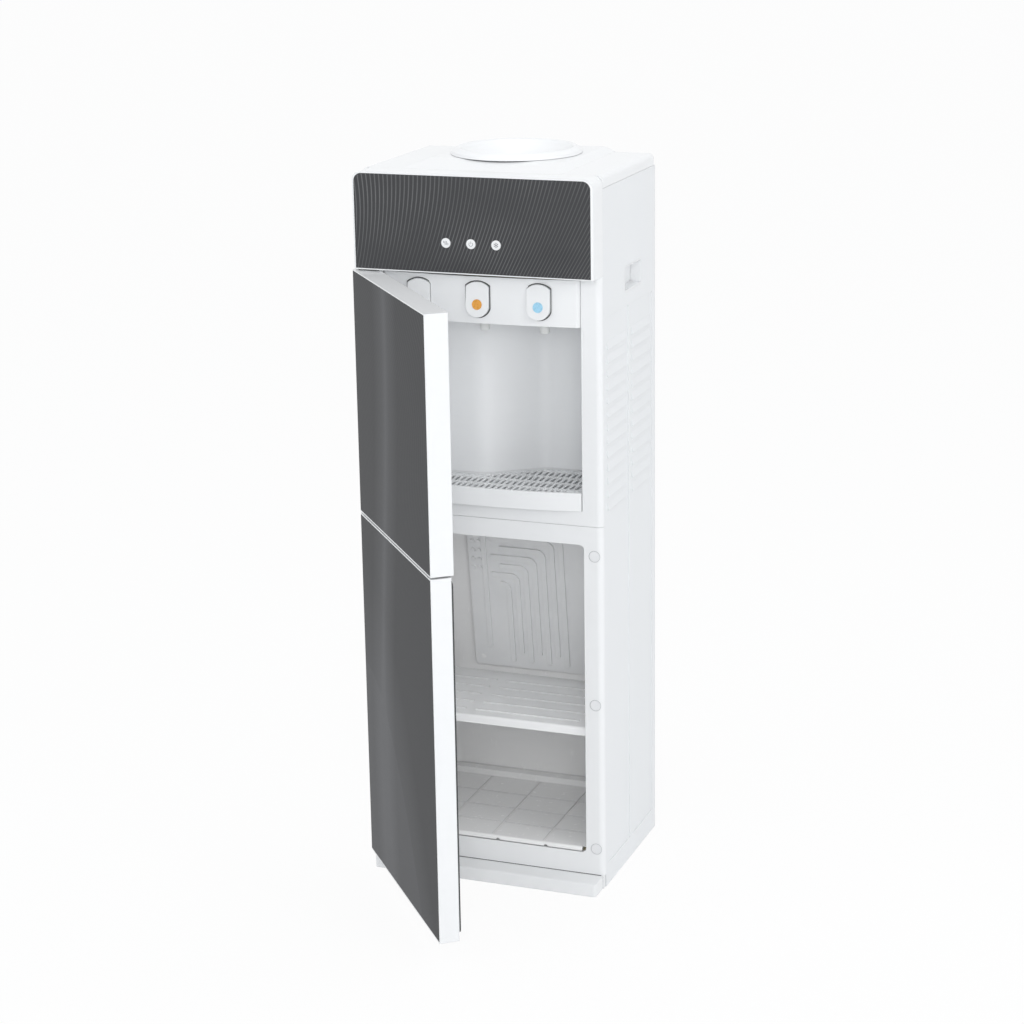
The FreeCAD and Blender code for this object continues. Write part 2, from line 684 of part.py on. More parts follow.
def mark_solid(face_y):
    disc = rod(MARK_R, 40, (0, face_y - 20, MARK_Z), V(0, 1, 0))
    shell = button_slab(face_y, -0.3, face_y + 5).cut(button_slab(face_y, 0.7, face_y + 6))
    return disc.common(shell)


def tap_mark(index):
    mark = mark_solid(bulkhead_face_y(tap_x(index)))
    mark.translate(V(tap_x(index), 0, 0))
    return mark


def tap_body(index):
    """Valve body: upright nozzle under a level barrel with an inlet barb at its back."""
    x = tap_x(index)
    axis_y = FRONT_Y + NOZZLE_BACK
    start = FRONT_Y + BARREL_Y
    barrel = rod(BARREL_R, BARREL_LEN, (x, start, TAP_Z), V(0, 1, 0))
    nozzle = turned([(0, NOZZLE_Z), (NOZZLE_R - 1, NOZZLE_Z), (NOZZLE_R, NOZZLE_Z + 2), (NOZZLE_R, TAP_Z), (0, TAP_Z)],
                    x, axis_y)
    barb = rod(5.0, 12, (x, start + BARREL_LEN - 1, TAP_Z), V(0, 1, 0))
    flange = block(x - 14, x + 14, start + BARREL_LEN - 8, start + BARREL_LEN - 5, BULKHEAD_Z0 + THIN_MOULD, TAP_Z)
    body = joined([barrel, nozzle, barb, flange])
    body = body.cut(rod(NOZZLE_BORE_R, TAP_Z - NOZZLE_Z, (x, axis_y, NOZZLE_Z)))
    body = body.cut(rod(STEM_R + STEM_CLEAR, STEM_REACH + BUTTON_TRAVEL + 1, (x, start, TAP_Z), V(0, 1, 0)))
    return body.cut(rod(3.0, 14, (x, start + BARREL_LEN - 2, TAP_Z), V(0, 1, 0)))


# ---- Drip tray -----------------------------------------------------------------------------
def tray_plan(inset, z, height):
    """Plan shape of the tray: bowed front, back that follows the bay's wall."""
    half = BAY_HALF - TRAY_GAP - inset
    gap = TRAY_GAP + inset
    back = bay_plan(gap, FRONT_Y)[1:-1]
    front_y = FRONT_Y - TRAY_END + inset
    bow = Part.Arc(V(-half, front_y, z), V(0, FRONT_Y - TRAY_BULGE + inset, z), V(half, front_y, z)).toShape()
    corners = [(half, front_y, 0)] + [(min(max(a, -half), half), b, r) for a, b, r in back] + [(-half, front_y, 0)]
    ring = outline(corners, in_plan(z))
    chord = [e for e in ring.Edges if abs(e.BoundBox.YMax - front_y) < 1e-6 and e.BoundBox.YLength < 1e-6]
    kept = [e for e in ring.Edges if not e.isSame(chord[0])]
    return Part.Face(Part.Wire(Part.__sortEdges__(kept + [bow]))).extrude(V(0, 0, height))


TRAY_Z = BAY_Z0 + SLIP
GRILLE_TOP = TRAY_TOP_Z - GRILLE_DROP


def drip_tray():
    """Open pan with a ledge inside the rim for the grille."""
    height = TRAY_TOP_Z - TRAY_Z
    body = tray_plan(0, TRAY_Z, height)
    body = body.cut(tray_plan(TRAY_WALL + 2.0, TRAY_Z + TRAY_WALL, height))
    return body.cut(tray_plan(TRAY_WALL, GRILLE_TOP - GRILLE_T - SLIP, height))


def drip_grille():
    """Flat cover of the tray with staggered rows of long slots that keep clear of the rim."""
    inset = TRAY_WALL + SLIP
    z = GRILLE_TOP - GRILLE_T
    plate = tray_plan(inset, z, GRILLE_T)
    land = tray_plan(inset + GRILLE_RIM, z, GRILLE_T)
    slots = []
    y = FRONT_Y - SLOT_START
    row = 0
    while y < BAY_DEEP_Y:
        x = -BAY_HALF + (row % 2) * SLOT_PITCH / 2
        while x < BAY_HALF:
            slot = block(x, x + SLOT_W, y, y + SLOT_LEN, z, GRILLE_TOP)
            inside = slot.common(land)
            if inside.Volume > SLOT_KEEP * slot.Volume:
                slots.append(inside)
            x += SLOT_PITCH
        y += SLOT_ROW
        row += 1
    return plate.cut(Part.makeCompound(slots))


# ---- Doors ---------------------------------------------------------------------------------
DOOR_X0 = -HALF + DOOR_SIDE_GAP
DOOR_X1 = DOOR_X0 + DOOR_W


def door_frame(z0, z1, depth):
    """Closed ring of a door with the rib that carries the glass, and bores for the hinge pins."""
    plan = [
        (DOOR_X0, FACE_Y, 2.0), (DOOR_X1, FACE_Y, 2.0), (DOOR_X1, FACE_Y + depth, 1.5), (DOOR_X0, FACE_Y + depth, 4.0),
    ]
    body = pushed(plan, in_plan(z0), (0, 0, z1 - z0))
    w = DOOR_WALL
    edge = GLASS_BORDER
    rebate = block(DOOR_X0 + edge, DOOR_X1 - edge, FACE_Y - 1, FACE_Y + GLASS_T, z0 + edge, z1 - edge)
    rib_y = FACE_Y + GLASS_T + w
    core = block(DOOR_X0 + w, DOOR_X1 - w, rib_y, FACE_Y + depth + 1, z0 + w, z1 - w)
    window = block(DOOR_X0 + w + LEDGE, DOOR_X1 - w - LEDGE, FACE_Y, rib_y + 1, z0 + w + LEDGE, z1 - w - LEDGE)
    body = body.cut(rebate).cut(core).cut(window)
    for z in (z0, z1 - PIN_REACH - 2):
        boss = block(DOOR_X0 + 1, PIN_X + HINGE_BOSS_R + 1, FACE_Y + GLASS_T, PIN_Y + HINGE_BOSS_R, z, z + PIN_REACH + 2)
        body = body.fuse(boss)
    body = body.removeSplitter()
    bore = PIN_R + PIN_CLEAR
    body = body.cut(rod(bore, PIN_REACH + SLIP + 1, (PIN_X, PIN_Y, z0 - 1)))
    return body.cut(rod(bore, PIN_REACH + SLIP + 1, (PIN_X, PIN_Y, z1 - PIN_REACH - SLIP)))


def door_glass(z0, z1):
    edge = GLASS_BORDER + 0.2
    plate = rectangle(DOOR_X0 + edge, DOOR_X1 - edge, z0 + edge, z1 - edge, 1.5, 1.5)
    return pushed(plate, in_front(FACE_Y), (0, GLASS_T, 0))


def upper_door_inner():
    """Inner panel of the upper door, with two shallow raised fields."""
    z0, z1 = UPPER_DOOR_Z
    gap = DOOR_WALL + SLIP
    y = FACE_Y + GLASS_T + DOOR_WALL
    plate = block(DOOR_X0 + gap, DOOR_X1 - gap, y, y + INNER_T, z0 + gap, z1 - gap)
    for z in (z0, z1 - PIN_REACH - 2):
        clear = PIN_X + HINGE_BOSS_R + 1 + SLIP
        plate = plate.cut(block(DOOR_X0, clear, y - 1, y + INNER_T + 1, z - SLIP, z + PIN_REACH + 2 + SLIP))
    middle = (z0 + z1) / 2
    for low, high in ((z0 + 22, middle - 6), (middle + 6, z1 - 22)):
        field = pushed(rectangle(DOOR_X0 + 30, DOOR_X1 - 30, low, high, 12, 12), in_front(y + INNER_T - 0.5), (0, 1.7, 0))
        plate = plate.fuse(field)
    return plate.removeSplitter()


LOWER_DEPTH = DOOR_T - GASKET_T


def lower_door_core():
    """Foam filling of the lower door."""
    z0, z1 = LOWER_DOOR_Z
    gap = DOOR_WALL + LEDGE
    y = FACE_Y + GLASS_T + DOOR_WALL
    return block(DOOR_X0 + gap + 2, DOOR_X1 - gap, y, FACE_Y + LOWER_DEPTH - INNER_T, z0 + gap + 2, z1 - gap - 2)


def lower_door_lining():
    """Inner lining of the lower door: a flat edge and a raised field that enters the compartment."""
    z0, z1 = LOWER_DOOR_Z
    y = FACE_Y + LOWER_DEPTH - INNER_T
    gap = DOOR_WALL + SLIP
    plate = block(DOOR_X0 + gap, DOOR_X1 - gap, y, y + INNER_T, z0 + gap, z1 - gap)
    clear = PIN_X + HINGE_BOSS_R + 1 + SLIP
    for z in (z0, z1 - PIN_REACH - 2):
        plate = plate.cut(block(DOOR_X0, clear, y - 1, y + INNER_T + 1, z - SLIP, z + PIN_REACH + 2 + SLIP))
    low = COLD_Z0 + 14
    high = COLD_Z1 - 10
    proud = y + INNER_T + GASKET_T + DIKE_H - y
    outer = pushed(rectangle(-DIKE_HALF, DIKE_HALF, low, high, 14, 14), in_front(y), (0, proud, 0))
    inner = pushed(rectangle(-DIKE_HALF + 14, DIKE_HALF - 14, low + 14, high - 14, 8, 8),
                   in_front(y + INNER_T), (0, proud, 0))
    hollow = pushed(rectangle(-DIKE_HALF + 2.5, DIKE_HALF - 2.5, low + 2.5, high - 2.5, 11, 11),
                    in_front(y - 1), (0, proud - INNER_T + 1, 0))
    island = pushed(rectangle(-DIKE_HALF + 11.5, DIKE_HALF - 11.5, low + 11.5, high - 11.5, 10, 10),
                    in_front(y - 2), (0, proud + 4, 0))
    return joined([plate, outer]).cut(inner).cut(hollow.cut(island))


def gasket():
    """Magnetic door gasket, seated on the lining round the raised field."""
    z0, z1 = LOWER_DOOR_Z
    y = FACE_Y + LOWER_DEPTH
    gap = DOOR_WALL + 2.0
    out = rectangle(DOOR_X0 + gap + 3, DOOR_X1 - gap, z0 + gap + 3, z1 - gap - 3, 6, 6)
    inside = GASKET_W + gap
    hole = rectangle(DOOR_X0 + inside + 3, DOOR_X1 - inside, z0 + inside + 3, z1 - inside - 3, 4, 4)
    ring = pushed(out, in_front(y), (0, GASKET_T, 0))
    return ring.cut(pushed(hole, in_front(y - 1), (0, GASKET_T + 2, 0)))


# ---- Control panel and top -----------------------------------------------------------------
def control_housing():
    """Moulded housing behind the control glass, open to the back, with board posts."""
    back = FRONT_Y + CORNER_R + 0.2
    depth = back - FACE_Y
    front = rectangle(-HALF, HALF, PANEL_Z, DECK_Z, 0, PANEL_R)
    body = pushed(front, in_front(FACE_Y), (0, depth, 0))
    plan = pushed(rectangle(-HALF, HALF, FACE_Y, back, 3.0), in_plan(PANEL_Z - 1), (0, 0, DECK_Z))
    body = body.common(plan)
    inner = rectangle(-HALF + MOULD, HALF - MOULD, PANEL_Z + MOULD, DECK_Z - MOULD, 0, PANEL_R - MOULD)
    body = body.cut(pushed(inner, in_front(FACE_Y + PANEL_GLASS_T + MOULD), (0, depth, 0)))
    body = body.cut(pushed(glass_outline(0.0), in_front(FACE_Y - 1), (0, 1 + PANEL_GLASS_T, 0)))
    for i in range(3):
        body = body.cut(rod(LIGHT_R + 0.6, MOULD + 2, (light_x(i), FACE_Y + PANEL_GLASS_T - 1, LIGHT_Z), V(0, 1, 0)))
    posts = []
    for x in (-BOARD_HALF + 5, BOARD_HALF - 5):
        for z in (BOARD_Z[0] + 5, BOARD_Z[1] - 5):
            length = BOARD_Y - FACE_Y - PANEL_GLASS_T - 1
            posts.append(rod(3.5, length, (x, BOARD_Y - length, z), V(0, 1, 0)))
    return joined([body] + posts)


BOARD_HALF = 62.0
BOARD_Z = (868.0, 918.0)
BOARD_Y = FACE_Y + 13.0
BOARD_T = 1.6


def glass_outline(inset):
    side, below, above = PANEL_BORDER
    return rectangle(-HALF + side + inset, HALF - side - inset, PANEL_Z + below + inset, DECK_Z - above - inset,
                     0, PANEL_R - above - inset)


def light_x(index):
    return (index - 1) * LIGHT_PITCH


def control_glass():
    """Dark glass of the control panel with a hole for each indicator light."""
    body = pushed(glass_outline(0.15), in_front(FACE_Y), (0, PANEL_GLASS_T, 0))
    for i in range(3):
        body = body.cut(rod(LIGHT_R + 0.15, PANEL_GLASS_T + 2, (light_x(i), FACE_Y - 1, LIGHT_Z), V(0, 1, 0)))
    return body


def indicator_lenses():
    """Clear moulding: three round lenses that stand in the glass, their stems and a joining bar."""
    bar_y = FACE_Y + PANEL_GLASS_T + MOULD + SLIP
    front = FACE_Y - 0.3
    reach = light_x(2) + LIGHT_R
    stem_end = BOARD_Y - 2.2 - SLIP
    pieces = [block(-reach, reach, bar_y, bar_y + 1.6, LIGHT_Z - 3, LIGHT_Z + 3)]
    for i in range(3):
        x = light_x(i)
        pieces.append(rod(LIGHT_R, bar_y - front + 1.6, (x, front, LIGHT_Z), V(0, 1, 0)))
        pieces.append(rod(LIGHT_R - 2.4, stem_end - bar_y, (x, bar_y, LIGHT_Z), V(0, 1, 0)))
    return joined(pieces)


def control_board():
    """Circuit board with three lamps, a connector, a relay and a controller."""
    pieces = [block(-BOARD_HALF, BOARD_HALF, BOARD_Y, BOARD_Y + BOARD_T, *BOARD_Z)]
    for i in range(3):
        pieces.append(block(light_x(i) - 2.5, light_x(i) + 2.5, BOARD_Y - 2.2, BOARD_Y + 0.2, LIGHT_Z - 2.5, LIGHT_Z + 2.5))
    back = BOARD_Y + BOARD_T
    pieces.append(block(-50, -28, back - 0.2, back + 9, 876, 890))
    pieces.append(block(20, 38, back - 0.2, back + 14, 890, 906))
    pieces.append(block(-12, 8, back - 0.2, back + 3, 884, 904))
    return joined(pieces)


def top_cover():
    """Top moulding with rounded edges, a raised middle and the round opening for the collar."""
    front = FRONT_Y + CORNER_R + 0.5
    slab = block(-HALF, HALF, front, REAR_Y, SIDE_TOP_Z + SLIP, DECK_Z)
    rounded = [e for e in slab.Edges if e.BoundBox.ZMin > DECK_Z - 1e-6
               and (e.BoundBox.YMax - e.BoundBox.YMin > 50 or e.BoundBox.YMin > 0)]
    upright = [e for e in slab.Edges if e.BoundBox.ZLength > 1 and e.BoundBox.YMin > 0]
    slab = slab.makeFillet(LID_FILLET, rounded + upright)
    section = [
        (front, DECK_Z - 2, 0), (REAR_Y - 0.6, DECK_Z - 2, 0), (REAR_Y - 0.6, PLATFORM_Z, 4.0),
        (front + 62, PLATFORM_Z, 60.0), (front, DECK_Z, 0),
    ]
    platform = pushed(section, in_side(-PLATFORM_HALF), (2 * PLATFORM_HALF, 0, 0))
    sides = [
        (-PLATFORM_HALF, DECK_Z - 2, 0), (PLATFORM_HALF, DECK_Z - 2, 0), (PLATFORM_HALF, DECK_Z, 0),
        (PLATFORM_HALF - 15, PLATFORM_Z, 6.0), (-PLATFORM_HALF + 15, PLATFORM_Z, 6.0), (-PLATFORM_HALF, DECK_Z, 0),
    ]
    platform = platform.common(pushed(sides, in_front(front), (0, SIDE_DEPTH, 0)))
    body = joined([slab, platform])
    hollow = block(-HALF + MOULD, HALF - MOULD, front + MOULD, REAR_Y - MOULD, SIDE_TOP_Z, DECK_Z - 3.4)
    body = body.cut(hollow)
    return body.cut(rod(COLLAR_BASE_R - 7, 60, (0, COLLAR_Y, SIDE_TOP_Z)))


PLATFORM_HALF = 109.0


def bottle_collar():
    """Lift-out collar: a low domed rim, a dished funnel and the socket for the bottle's neck."""
    rim_z = PLATFORM_Z + COLLAR_RISE
    seat = PLATFORM_Z + COLLAR_LIFT_GAP
    neck_z = rim_z - 30.0
    foot_z = neck_z - NECK_DEPTH
    outer = [
        (COLLAR_BASE_R, seat), (COLLAR_BASE_R - 1.5, seat + 4.0), (COLLAR_TOP_R + 3.5, rim_z - 1.6), (COLLAR_TOP_R, rim_z),
        (COLLAR_TOP_R - 4, rim_z - 1.2), (COLLAR_TOP_R - 8, rim_z - 6), (NECK_R + 14, neck_z + 5), (NECK_R + 3, neck_z),
        (NECK_R, neck_z - 4), (NECK_R, foot_z + 3), (9.0, foot_z + 3), (9.0, foot_z), (NECK_R + NECK_WALL, foot_z),
        (NECK_R + NECK_WALL, neck_z - 5), (NECK_R + 14, neck_z + 2), (COLLAR_TOP_R - 9, rim_z - 12),
        (COLLAR_BASE_R - 8, seat - 6), (COLLAR_BASE_R - 8, seat),
    ]
    return turned(outer, 0, COLLAR_Y)


# ---- Outer panels --------------------------------------------------------------------------
def right_side_panel():
    """Folded steel side with two pressed fields, two columns of louvres and a grip cut-out."""
    front = FRONT_Y + CORNER_R + 0.4
    z1 = SIDE_TOP_Z
    sheet = block(HALF - SHEET, HALF, front, REAR_Y, 0, z1)
    body = sheet.fuse(block(HALF - 12, HALF, REAR_Y - SHEET, REAR_Y, 0, z1))
    pans = []
    wedges = []
    mouths = []
    floor_x = HALF - FIELD_DEPTH
    for y0, y1 in FIELD_Y:
        body = body.cut(block(HALF - SHEET, HALF, y0, y1, *FIELD_Z))
        pan = block(floor_x - SHEET, HALF, y0, y1, *FIELD_Z)
        pans.append(pan.cut(block(floor_x, HALF + 1, y0 + SHEET, y1 - SHEET, FIELD_Z[0] + SHEET, FIELD_Z[1] - SHEET)))
        for i in range(LOUVRE_COUNT):
            low = LOUVRE_Z + i * LOUVRE_PITCH
            high = low + LOUVRE_H
            y_low = y0 + LOUVRE_INSET
            length = y1 - y0 - 2 * LOUVRE_INSET
            hood = [(floor_x - 0.3, low, 0), (floor_x + LOUVRE_RISE, low, 0), (floor_x + 0.1, high, 0), (floor_x - 0.3, high, 0)]
            wedges.append(pushed(hood, lambda a, b, y=y_low: V(a, y, b), (0, length, 0)))
            mouth = [
                (floor_x - SHEET - 0.5, low - 0.1, 0), (floor_x + LOUVRE_RISE - 0.7, low - 0.1, 0),
                (floor_x - 0.5, high - 2.0, 0), (floor_x - SHEET - 0.5, high - 2.0, 0),
            ]
            mouths.append(pushed(mouth, lambda a, b, y=y_low + 0.8: V(a, y, b), (0, length - 1.6, 0)))
    body = body.multiFuse(pans + wedges)
    body = body.cut(Part.makeCompound(mouths))
    window = rectangle(*GRIP_Y, *GRIP_Z, 4, 4)
    return body.cut(pushed(window, in_side(HALF - 5), (10, 0, 0))).removeSplitter()


def right_grip():
    """Moulded cup behind the side panel's cut-out, for lifting the cabinet."""
    y0, y1 = GRIP_Y
    z0, z1 = GRIP_Z
    gap = 0.2
    face = HALF
    cup = pushed(rectangle(y0 + gap, y1 - gap, z0 + gap, z1 - gap, 4, 4), in_side(face - GRIP_DEPTH), (GRIP_DEPTH, 0, 0))
    flange = pushed(rectangle(y0 - 4, y1 + 4, z0 - 4, z1 + 4, 6, 6), in_side(face - SHEET - 2), (2.0, 0, 0))
    w = gap + GRIP_WALL
    hollow = [
        (face - GRIP_DEPTH + GRIP_WALL, z0 + w, 0), (face + 1, z0 + w, 0), (face + 1, z1 - w, 0),
        (face - GRIP_DEPTH + GRIP_WALL, z1 - w, 8.0),
    ]
    hollow = pushed(hollow, lambda a, b: V(a, y0 + w, b), (0, y1 - y0 - 2 * w, 0))
    return joined([cup, flange]).cut(hollow)


BACK_HALF = 150.0
BACK_Z = (20.0, 500.0)
REAR_SKIN_Y = REAR_Y - SHEET


def back_pan():
    """Pressed back of the cold cabinet, standing out behind the side panels."""
    flange = block(-INNER_HALF, INNER_HALF, REAR_SKIN_Y - SHEET, REAR_SKIN_Y, PLINTH_H, SEAM_Z)
    corners = rectangle(-BACK_HALF, BACK_HALF, *BACK_Z, 0, 0)
    bulge = pushed(corners, in_front(REAR_SKIN_Y - SHEET), (0, BACK_BULGE + 2 * SHEET, 0))
    hollow = block(-BACK_HALF + SHEET, BACK_HALF - SHEET, REAR_Y - 10, REAR_Y + BACK_BULGE - SHEET,
                   BACK_Z[0] + SHEET, BACK_Z[1] - SHEET)
    body = flange.fuse(bulge).cut(hollow)
    return body.removeSplitter()


def rear_cover():
    """Upper rear sheet with vent slots and openings for switches, mains lead and drain."""
    z0 = SEAM_Z + 2
    z1 = SIDE_TOP_Z - 1
    body = block(-INNER_HALF, INNER_HALF, REAR_SKIN_Y - SHEET, REAR_SKIN_Y, z0, z1)
    cuts = []
    for column in (-1, 1):
        for i in range(10):
            z = 560.0 + i * LOUVRE_PITCH
            cuts.append(block(column * 78 - 45, column * 78 + 45, REAR_Y - 5, REAR_Y + 5, z, z + 5))
    cuts.append(block(SWITCH_X - SWITCH_W, SWITCH_X + SWITCH_W, REAR_Y - 5, REAR_Y + 5, SWITCH_Z - 12, SWITCH_Z + 12))
    cuts.append(rod(GLAND_R, 10, (GLAND_X, REAR_Y - 5, GLAND_Z), V(0, 1, 0)))
    cuts.append(rod(DRAIN_BORE_R + 3, 10, (DRAIN_SPOUT_X, REAR_Y - 5, DRAIN_Z), V(0, 1, 0)))
    return body.cut(Part.makeCompound(cuts))


SWITCH_X = -110.0
SWITCH_Z = 860.0
SWITCH_W = 26.0
SWITCH_PITCH = 22.0
ROCKER_TILT = 8.0
ROCKER_AXIS_DEPTH = 4.0      # pivot behind the bezel's face
ROCKER_PIN_R = 1.5
ROCKER_PIN_CLEAR = 0.06
ROCKER_PIN_REACH = 9.3       # half of the pivot's length
GLAND_X = 120.0
GLAND_Z = 545.0
GLAND_R = 9.0
DRAIN_SPOUT_X = 0.0
DRAIN_Z = 545.0
DRAIN_BORE_R = 7.0


def switch_bezel():
    """Moulded bezel in the rear cover that carries the two rocker switches."""
    y = REAR_SKIN_Y - SHEET
    plate = pushed(rectangle(SWITCH_X - SWITCH_W - 3, SWITCH_X + SWITCH_W + 3, SWITCH_Z - 15, SWITCH_Z + 15, 3, 3),
                   in_front(REAR_SKIN_Y), (0, 2.0, 0))
    body = block(SWITCH_X - SWITCH_W + 0.2, SWITCH_X + SWITCH_W - 0.2, y - 14, REAR_SKIN_Y + 1,
                 SWITCH_Z - 11.8, SWITCH_Z + 11.8)
    body = plate.fuse(body)
    for i in (-1, 1):
        x = SWITCH_X + i * SWITCH_PITCH / 2
        body = body.cut(block(x - 7.6, x + 7.6, y - 9, REAR_Y + 5, SWITCH_Z - 9.5, SWITCH_Z + 9.5))
        reach = ROCKER_PIN_REACH + SLIP
        foot = (x - reach, REAR_SKIN_Y + 2.0 - ROCKER_AXIS_DEPTH, SWITCH_Z)
        body = body.cut(rod(ROCKER_PIN_R + ROCKER_PIN_CLEAR, 2 * reach, foot, V(1, 0, 0)))
    return body.removeSplitter()


def rocker(index):
    """Rocker of a rear switch, with a shallow V across its face, drawn tipped to one side."""
    x = SWITCH_X + (index - 0.5) * SWITCH_PITCH
    y = REAR_SKIN_Y + 2.0
    section = [
        (y - 8, SWITCH_Z - 4, 0), (y + 1.5, SWITCH_Z - 8, 0), (y, SWITCH_Z, 0), (y + 1.5, SWITCH_Z + 8, 0),
        (y - 8, SWITCH_Z + 4, 0),
    ]
    body = pushed(section, in_side(x - 7.3), (14.6, 0, 0))
    axis_y = y - ROCKER_AXIS_DEPTH
    pin = rod(ROCKER_PIN_R, 2 * ROCKER_PIN_REACH, (x - ROCKER_PIN_REACH, axis_y, SWITCH_Z), V(1, 0, 0))
    body = joined([body, pin])
    body.rotate(V(0, axis_y, SWITCH_Z), V(1, 0, 0), ROCKER_TILT)
    return body


def mains_gland():
    """Strain-relief bush for the mains lead in the rear cover."""
    y = REAR_SKIN_Y - SHEET
    section = [(3.6, -6), (GLAND_R - 0.2, -6), (GLAND_R - 0.2, SHEET), (GLAND_R + 3, SHEET),
               (GLAND_R + 3, SHEET + 3), (6.0, SHEET + 12), (3.6, SHEET + 12)]
    points = [V(GLAND_X + r, y + d, GLAND_Z) for r, d in section]
    wire = Part.makePolygon(points + [points[0]])
    return Part.Face(wire).revolve(V(GLAND_X, 0, GLAND_Z), V(0, 1, 0), 360)


def drain_spout():
    """Drain pipe of the hot tank that passes out through the rear cover."""
    foot = (DRAIN_SPOUT_X, REAR_Y - 40, DRAIN_Z)
    pipe = rod(DRAIN_BORE_R + 2.5, 56, foot, V(0, 1, 0))
    nut = rod(DRAIN_BORE_R + 6, 4, (DRAIN_SPOUT_X, REAR_SKIN_Y - SHEET - 4, DRAIN_Z), V(0, 1, 0))
    foot_block = block(DRAIN_SPOUT_X - 8, DRAIN_SPOUT_X + 8, REAR_Y - 38, REAR_Y - 20, MID_SHELF_Z + SHEET, DRAIN_Z)
    body = joined([pipe, nut, foot_block])
    return body.cut(rod(DRAIN_BORE_R, 50, (DRAIN_SPOUT_X, REAR_Y - 30, DRAIN_Z), V(0, 1, 0)))


def drain_cap():
    """Cap of the drain pipe with finger lugs and a short plug."""
    y = REAR_Y + 16 + SLIP
    cap = rod(DRAIN_BORE_R + 5, 6, (DRAIN_SPOUT_X, y, DRAIN_Z), V(0, 1, 0))
    plug = rod(DRAIN_BORE_R - 0.3, 9, (DRAIN_SPOUT_X, y - 8.5, DRAIN_Z), V(0, 1, 0))
    lugs = block(DRAIN_SPOUT_X - 14, DRAIN_SPOUT_X + 14, y + 1, y + 6, DRAIN_Z - 3, DRAIN_Z + 3)
    return joined([cap, plug, lugs])


# ---- Machine parts -------------------------------------------------------------------------
MID_SHELF_Z = SEAM_Z + SEAM_GAP


def mid_shelf():
    """Steel floor of the machine space above the cold cabinet, with a turned-up rear edge."""
    half = INNER_HALF - FIELD_DEPTH - SHEET - 0.2
    front = FRONT_Y + FRAME_DEPTH + SLIP
    rear = REAR_SKIN_Y - SHEET - SLIP
    plate = block(-half, half, front, rear, MID_SHELF_Z, MID_SHELF_Z + SHEET)
    return plate.fuse(block(-half, half, rear - SHEET, rear, MID_SHELF_Z, MID_SHELF_Z + 14)).removeSplitter()


def compressor():
    """Hermetic compressor: welded two-part shell, foot plate on rubber bushes, tube stubs."""
    x, y = COMPRESSOR_X, COMPRESSOR_Y
    z = MID_SHELF_Z + SHEET + 12
    r = COMPRESSOR_R
    h = COMPRESSOR_H
    shell = turned([(0, z), (r * 0.62, z), (r * 0.9, z + h * 0.1), (r * 0.97, z + h * 0.25), (r * 0.97, z + h * 0.46),
                    (r, z + h * 0.47), (r, z + h * 0.51), (r * 0.95, z + h * 0.52), (r * 0.93, z + h * 0.72),
                    (r * 0.78, z + h * 0.9), (r * 0.45, z + h), (0, z + h)], x, y)
    feet = block(x - r, x + r, y - r * 0.78, y + r * 0.78, z - 2, z + 1)
    pieces = [shell, feet]
    for sx in (-1, 1):
        for sy in (-1, 1):
            bush = rod(7, 10, (x + sx * (r - 9), y + sy * (r * 0.78 - 9), MID_SHELF_Z + SHEET))
            pieces.append(bush)
    box_x = x + r * 0.86
    pieces.append(block(box_x, box_x + 18, y - 20, y + 20, z + h * 0.3, z + h * 0.62))
    pieces.append(rod(3.2, 26, (x - 18, y + r * 0.55, z + h * 0.84)))
    pieces.append(rod(TUBE_R, 30, (x + 14, y + r * 0.5, z + h * 0.84)))
    return joined(pieces)


def hot_tank():
    """Welded steel tank with dished ends, band heater, inlet and outlet stubs."""
    z = MID_SHELF_Z + SHEET + 18
    tank = turned([(0, z), (HOT_R * 0.7, z), (HOT_R, z + 8), (HOT_R, z + HOT_H - 8), (HOT_R * 0.7, z + HOT_H), (0, z + HOT_H)],
                  HOT_X, HOT_Y)
    band = turned([(HOT_R - 1, z + 30), (HOT_R + 3, z + 30), (HOT_R + 3, z + 62), (HOT_R - 1, z + 62)], HOT_X, HOT_Y)
    outlet = rod(4.5, 26, (HOT_X, HOT_Y, z + HOT_H - 1))
    return joined([tank, band, outlet])


def hot_jacket():
    """Insulating jacket round the hot tank, standing on the machine floor."""
    z = MID_SHELF_Z + SHEET
    clear = HOT_R + 3.3
    wall = JACKET_T - 3.3
    top = z + 18 + HOT_H + 3
    return turned([(0, z), (clear + wall, z), (clear + wall, top + 10), (6, top + 10), (6, top), (clear, top),
                   (clear, z + 18 - SLIP), (0, z + 18 - SLIP)], HOT_X, HOT_Y)


def tank_shelf():
    """Flanged shelf across the upper cabinet that carries the cold tank."""
    half = HALF - FIELD_DEPTH - SHEET - SLIP
    front = FRONT_Y + 58
    rear = REAR_SKIN_Y - SHEET - SLIP
    plate = block(-half, half, front, rear, TANK_SHELF_Z, TANK_SHELF_Z + 1.2)
    lip = block(-half, half, front, front + 1.2, TANK_SHELF_Z - 8, TANK_SHELF_Z + 1.2)
    ends = []
    for side in (-1, 1):
        x0 = -half if side < 0 else half - 1.2
        ends.append(block(x0, x0 + 1.2, front, rear, TANK_SHELF_Z + 1, TANK_SHELF_Z + 12))
    return joined([plate, lip] + ends)


def cold_tank():
    """Open-topped steel drum with a dished floor and two outlet stubs."""
    z = TANK_Z
    wall = 1.0
    r = TANK_R
    return turned([(0, z), (r * 0.75, z), (r, z + 10), (r, z + TANK_H), (r - wall, z + TANK_H), (r - wall, z + 11),
                   (r * 0.75 - 0.5, z + wall), (0, z + wall)], 0, COLLAR_Y)


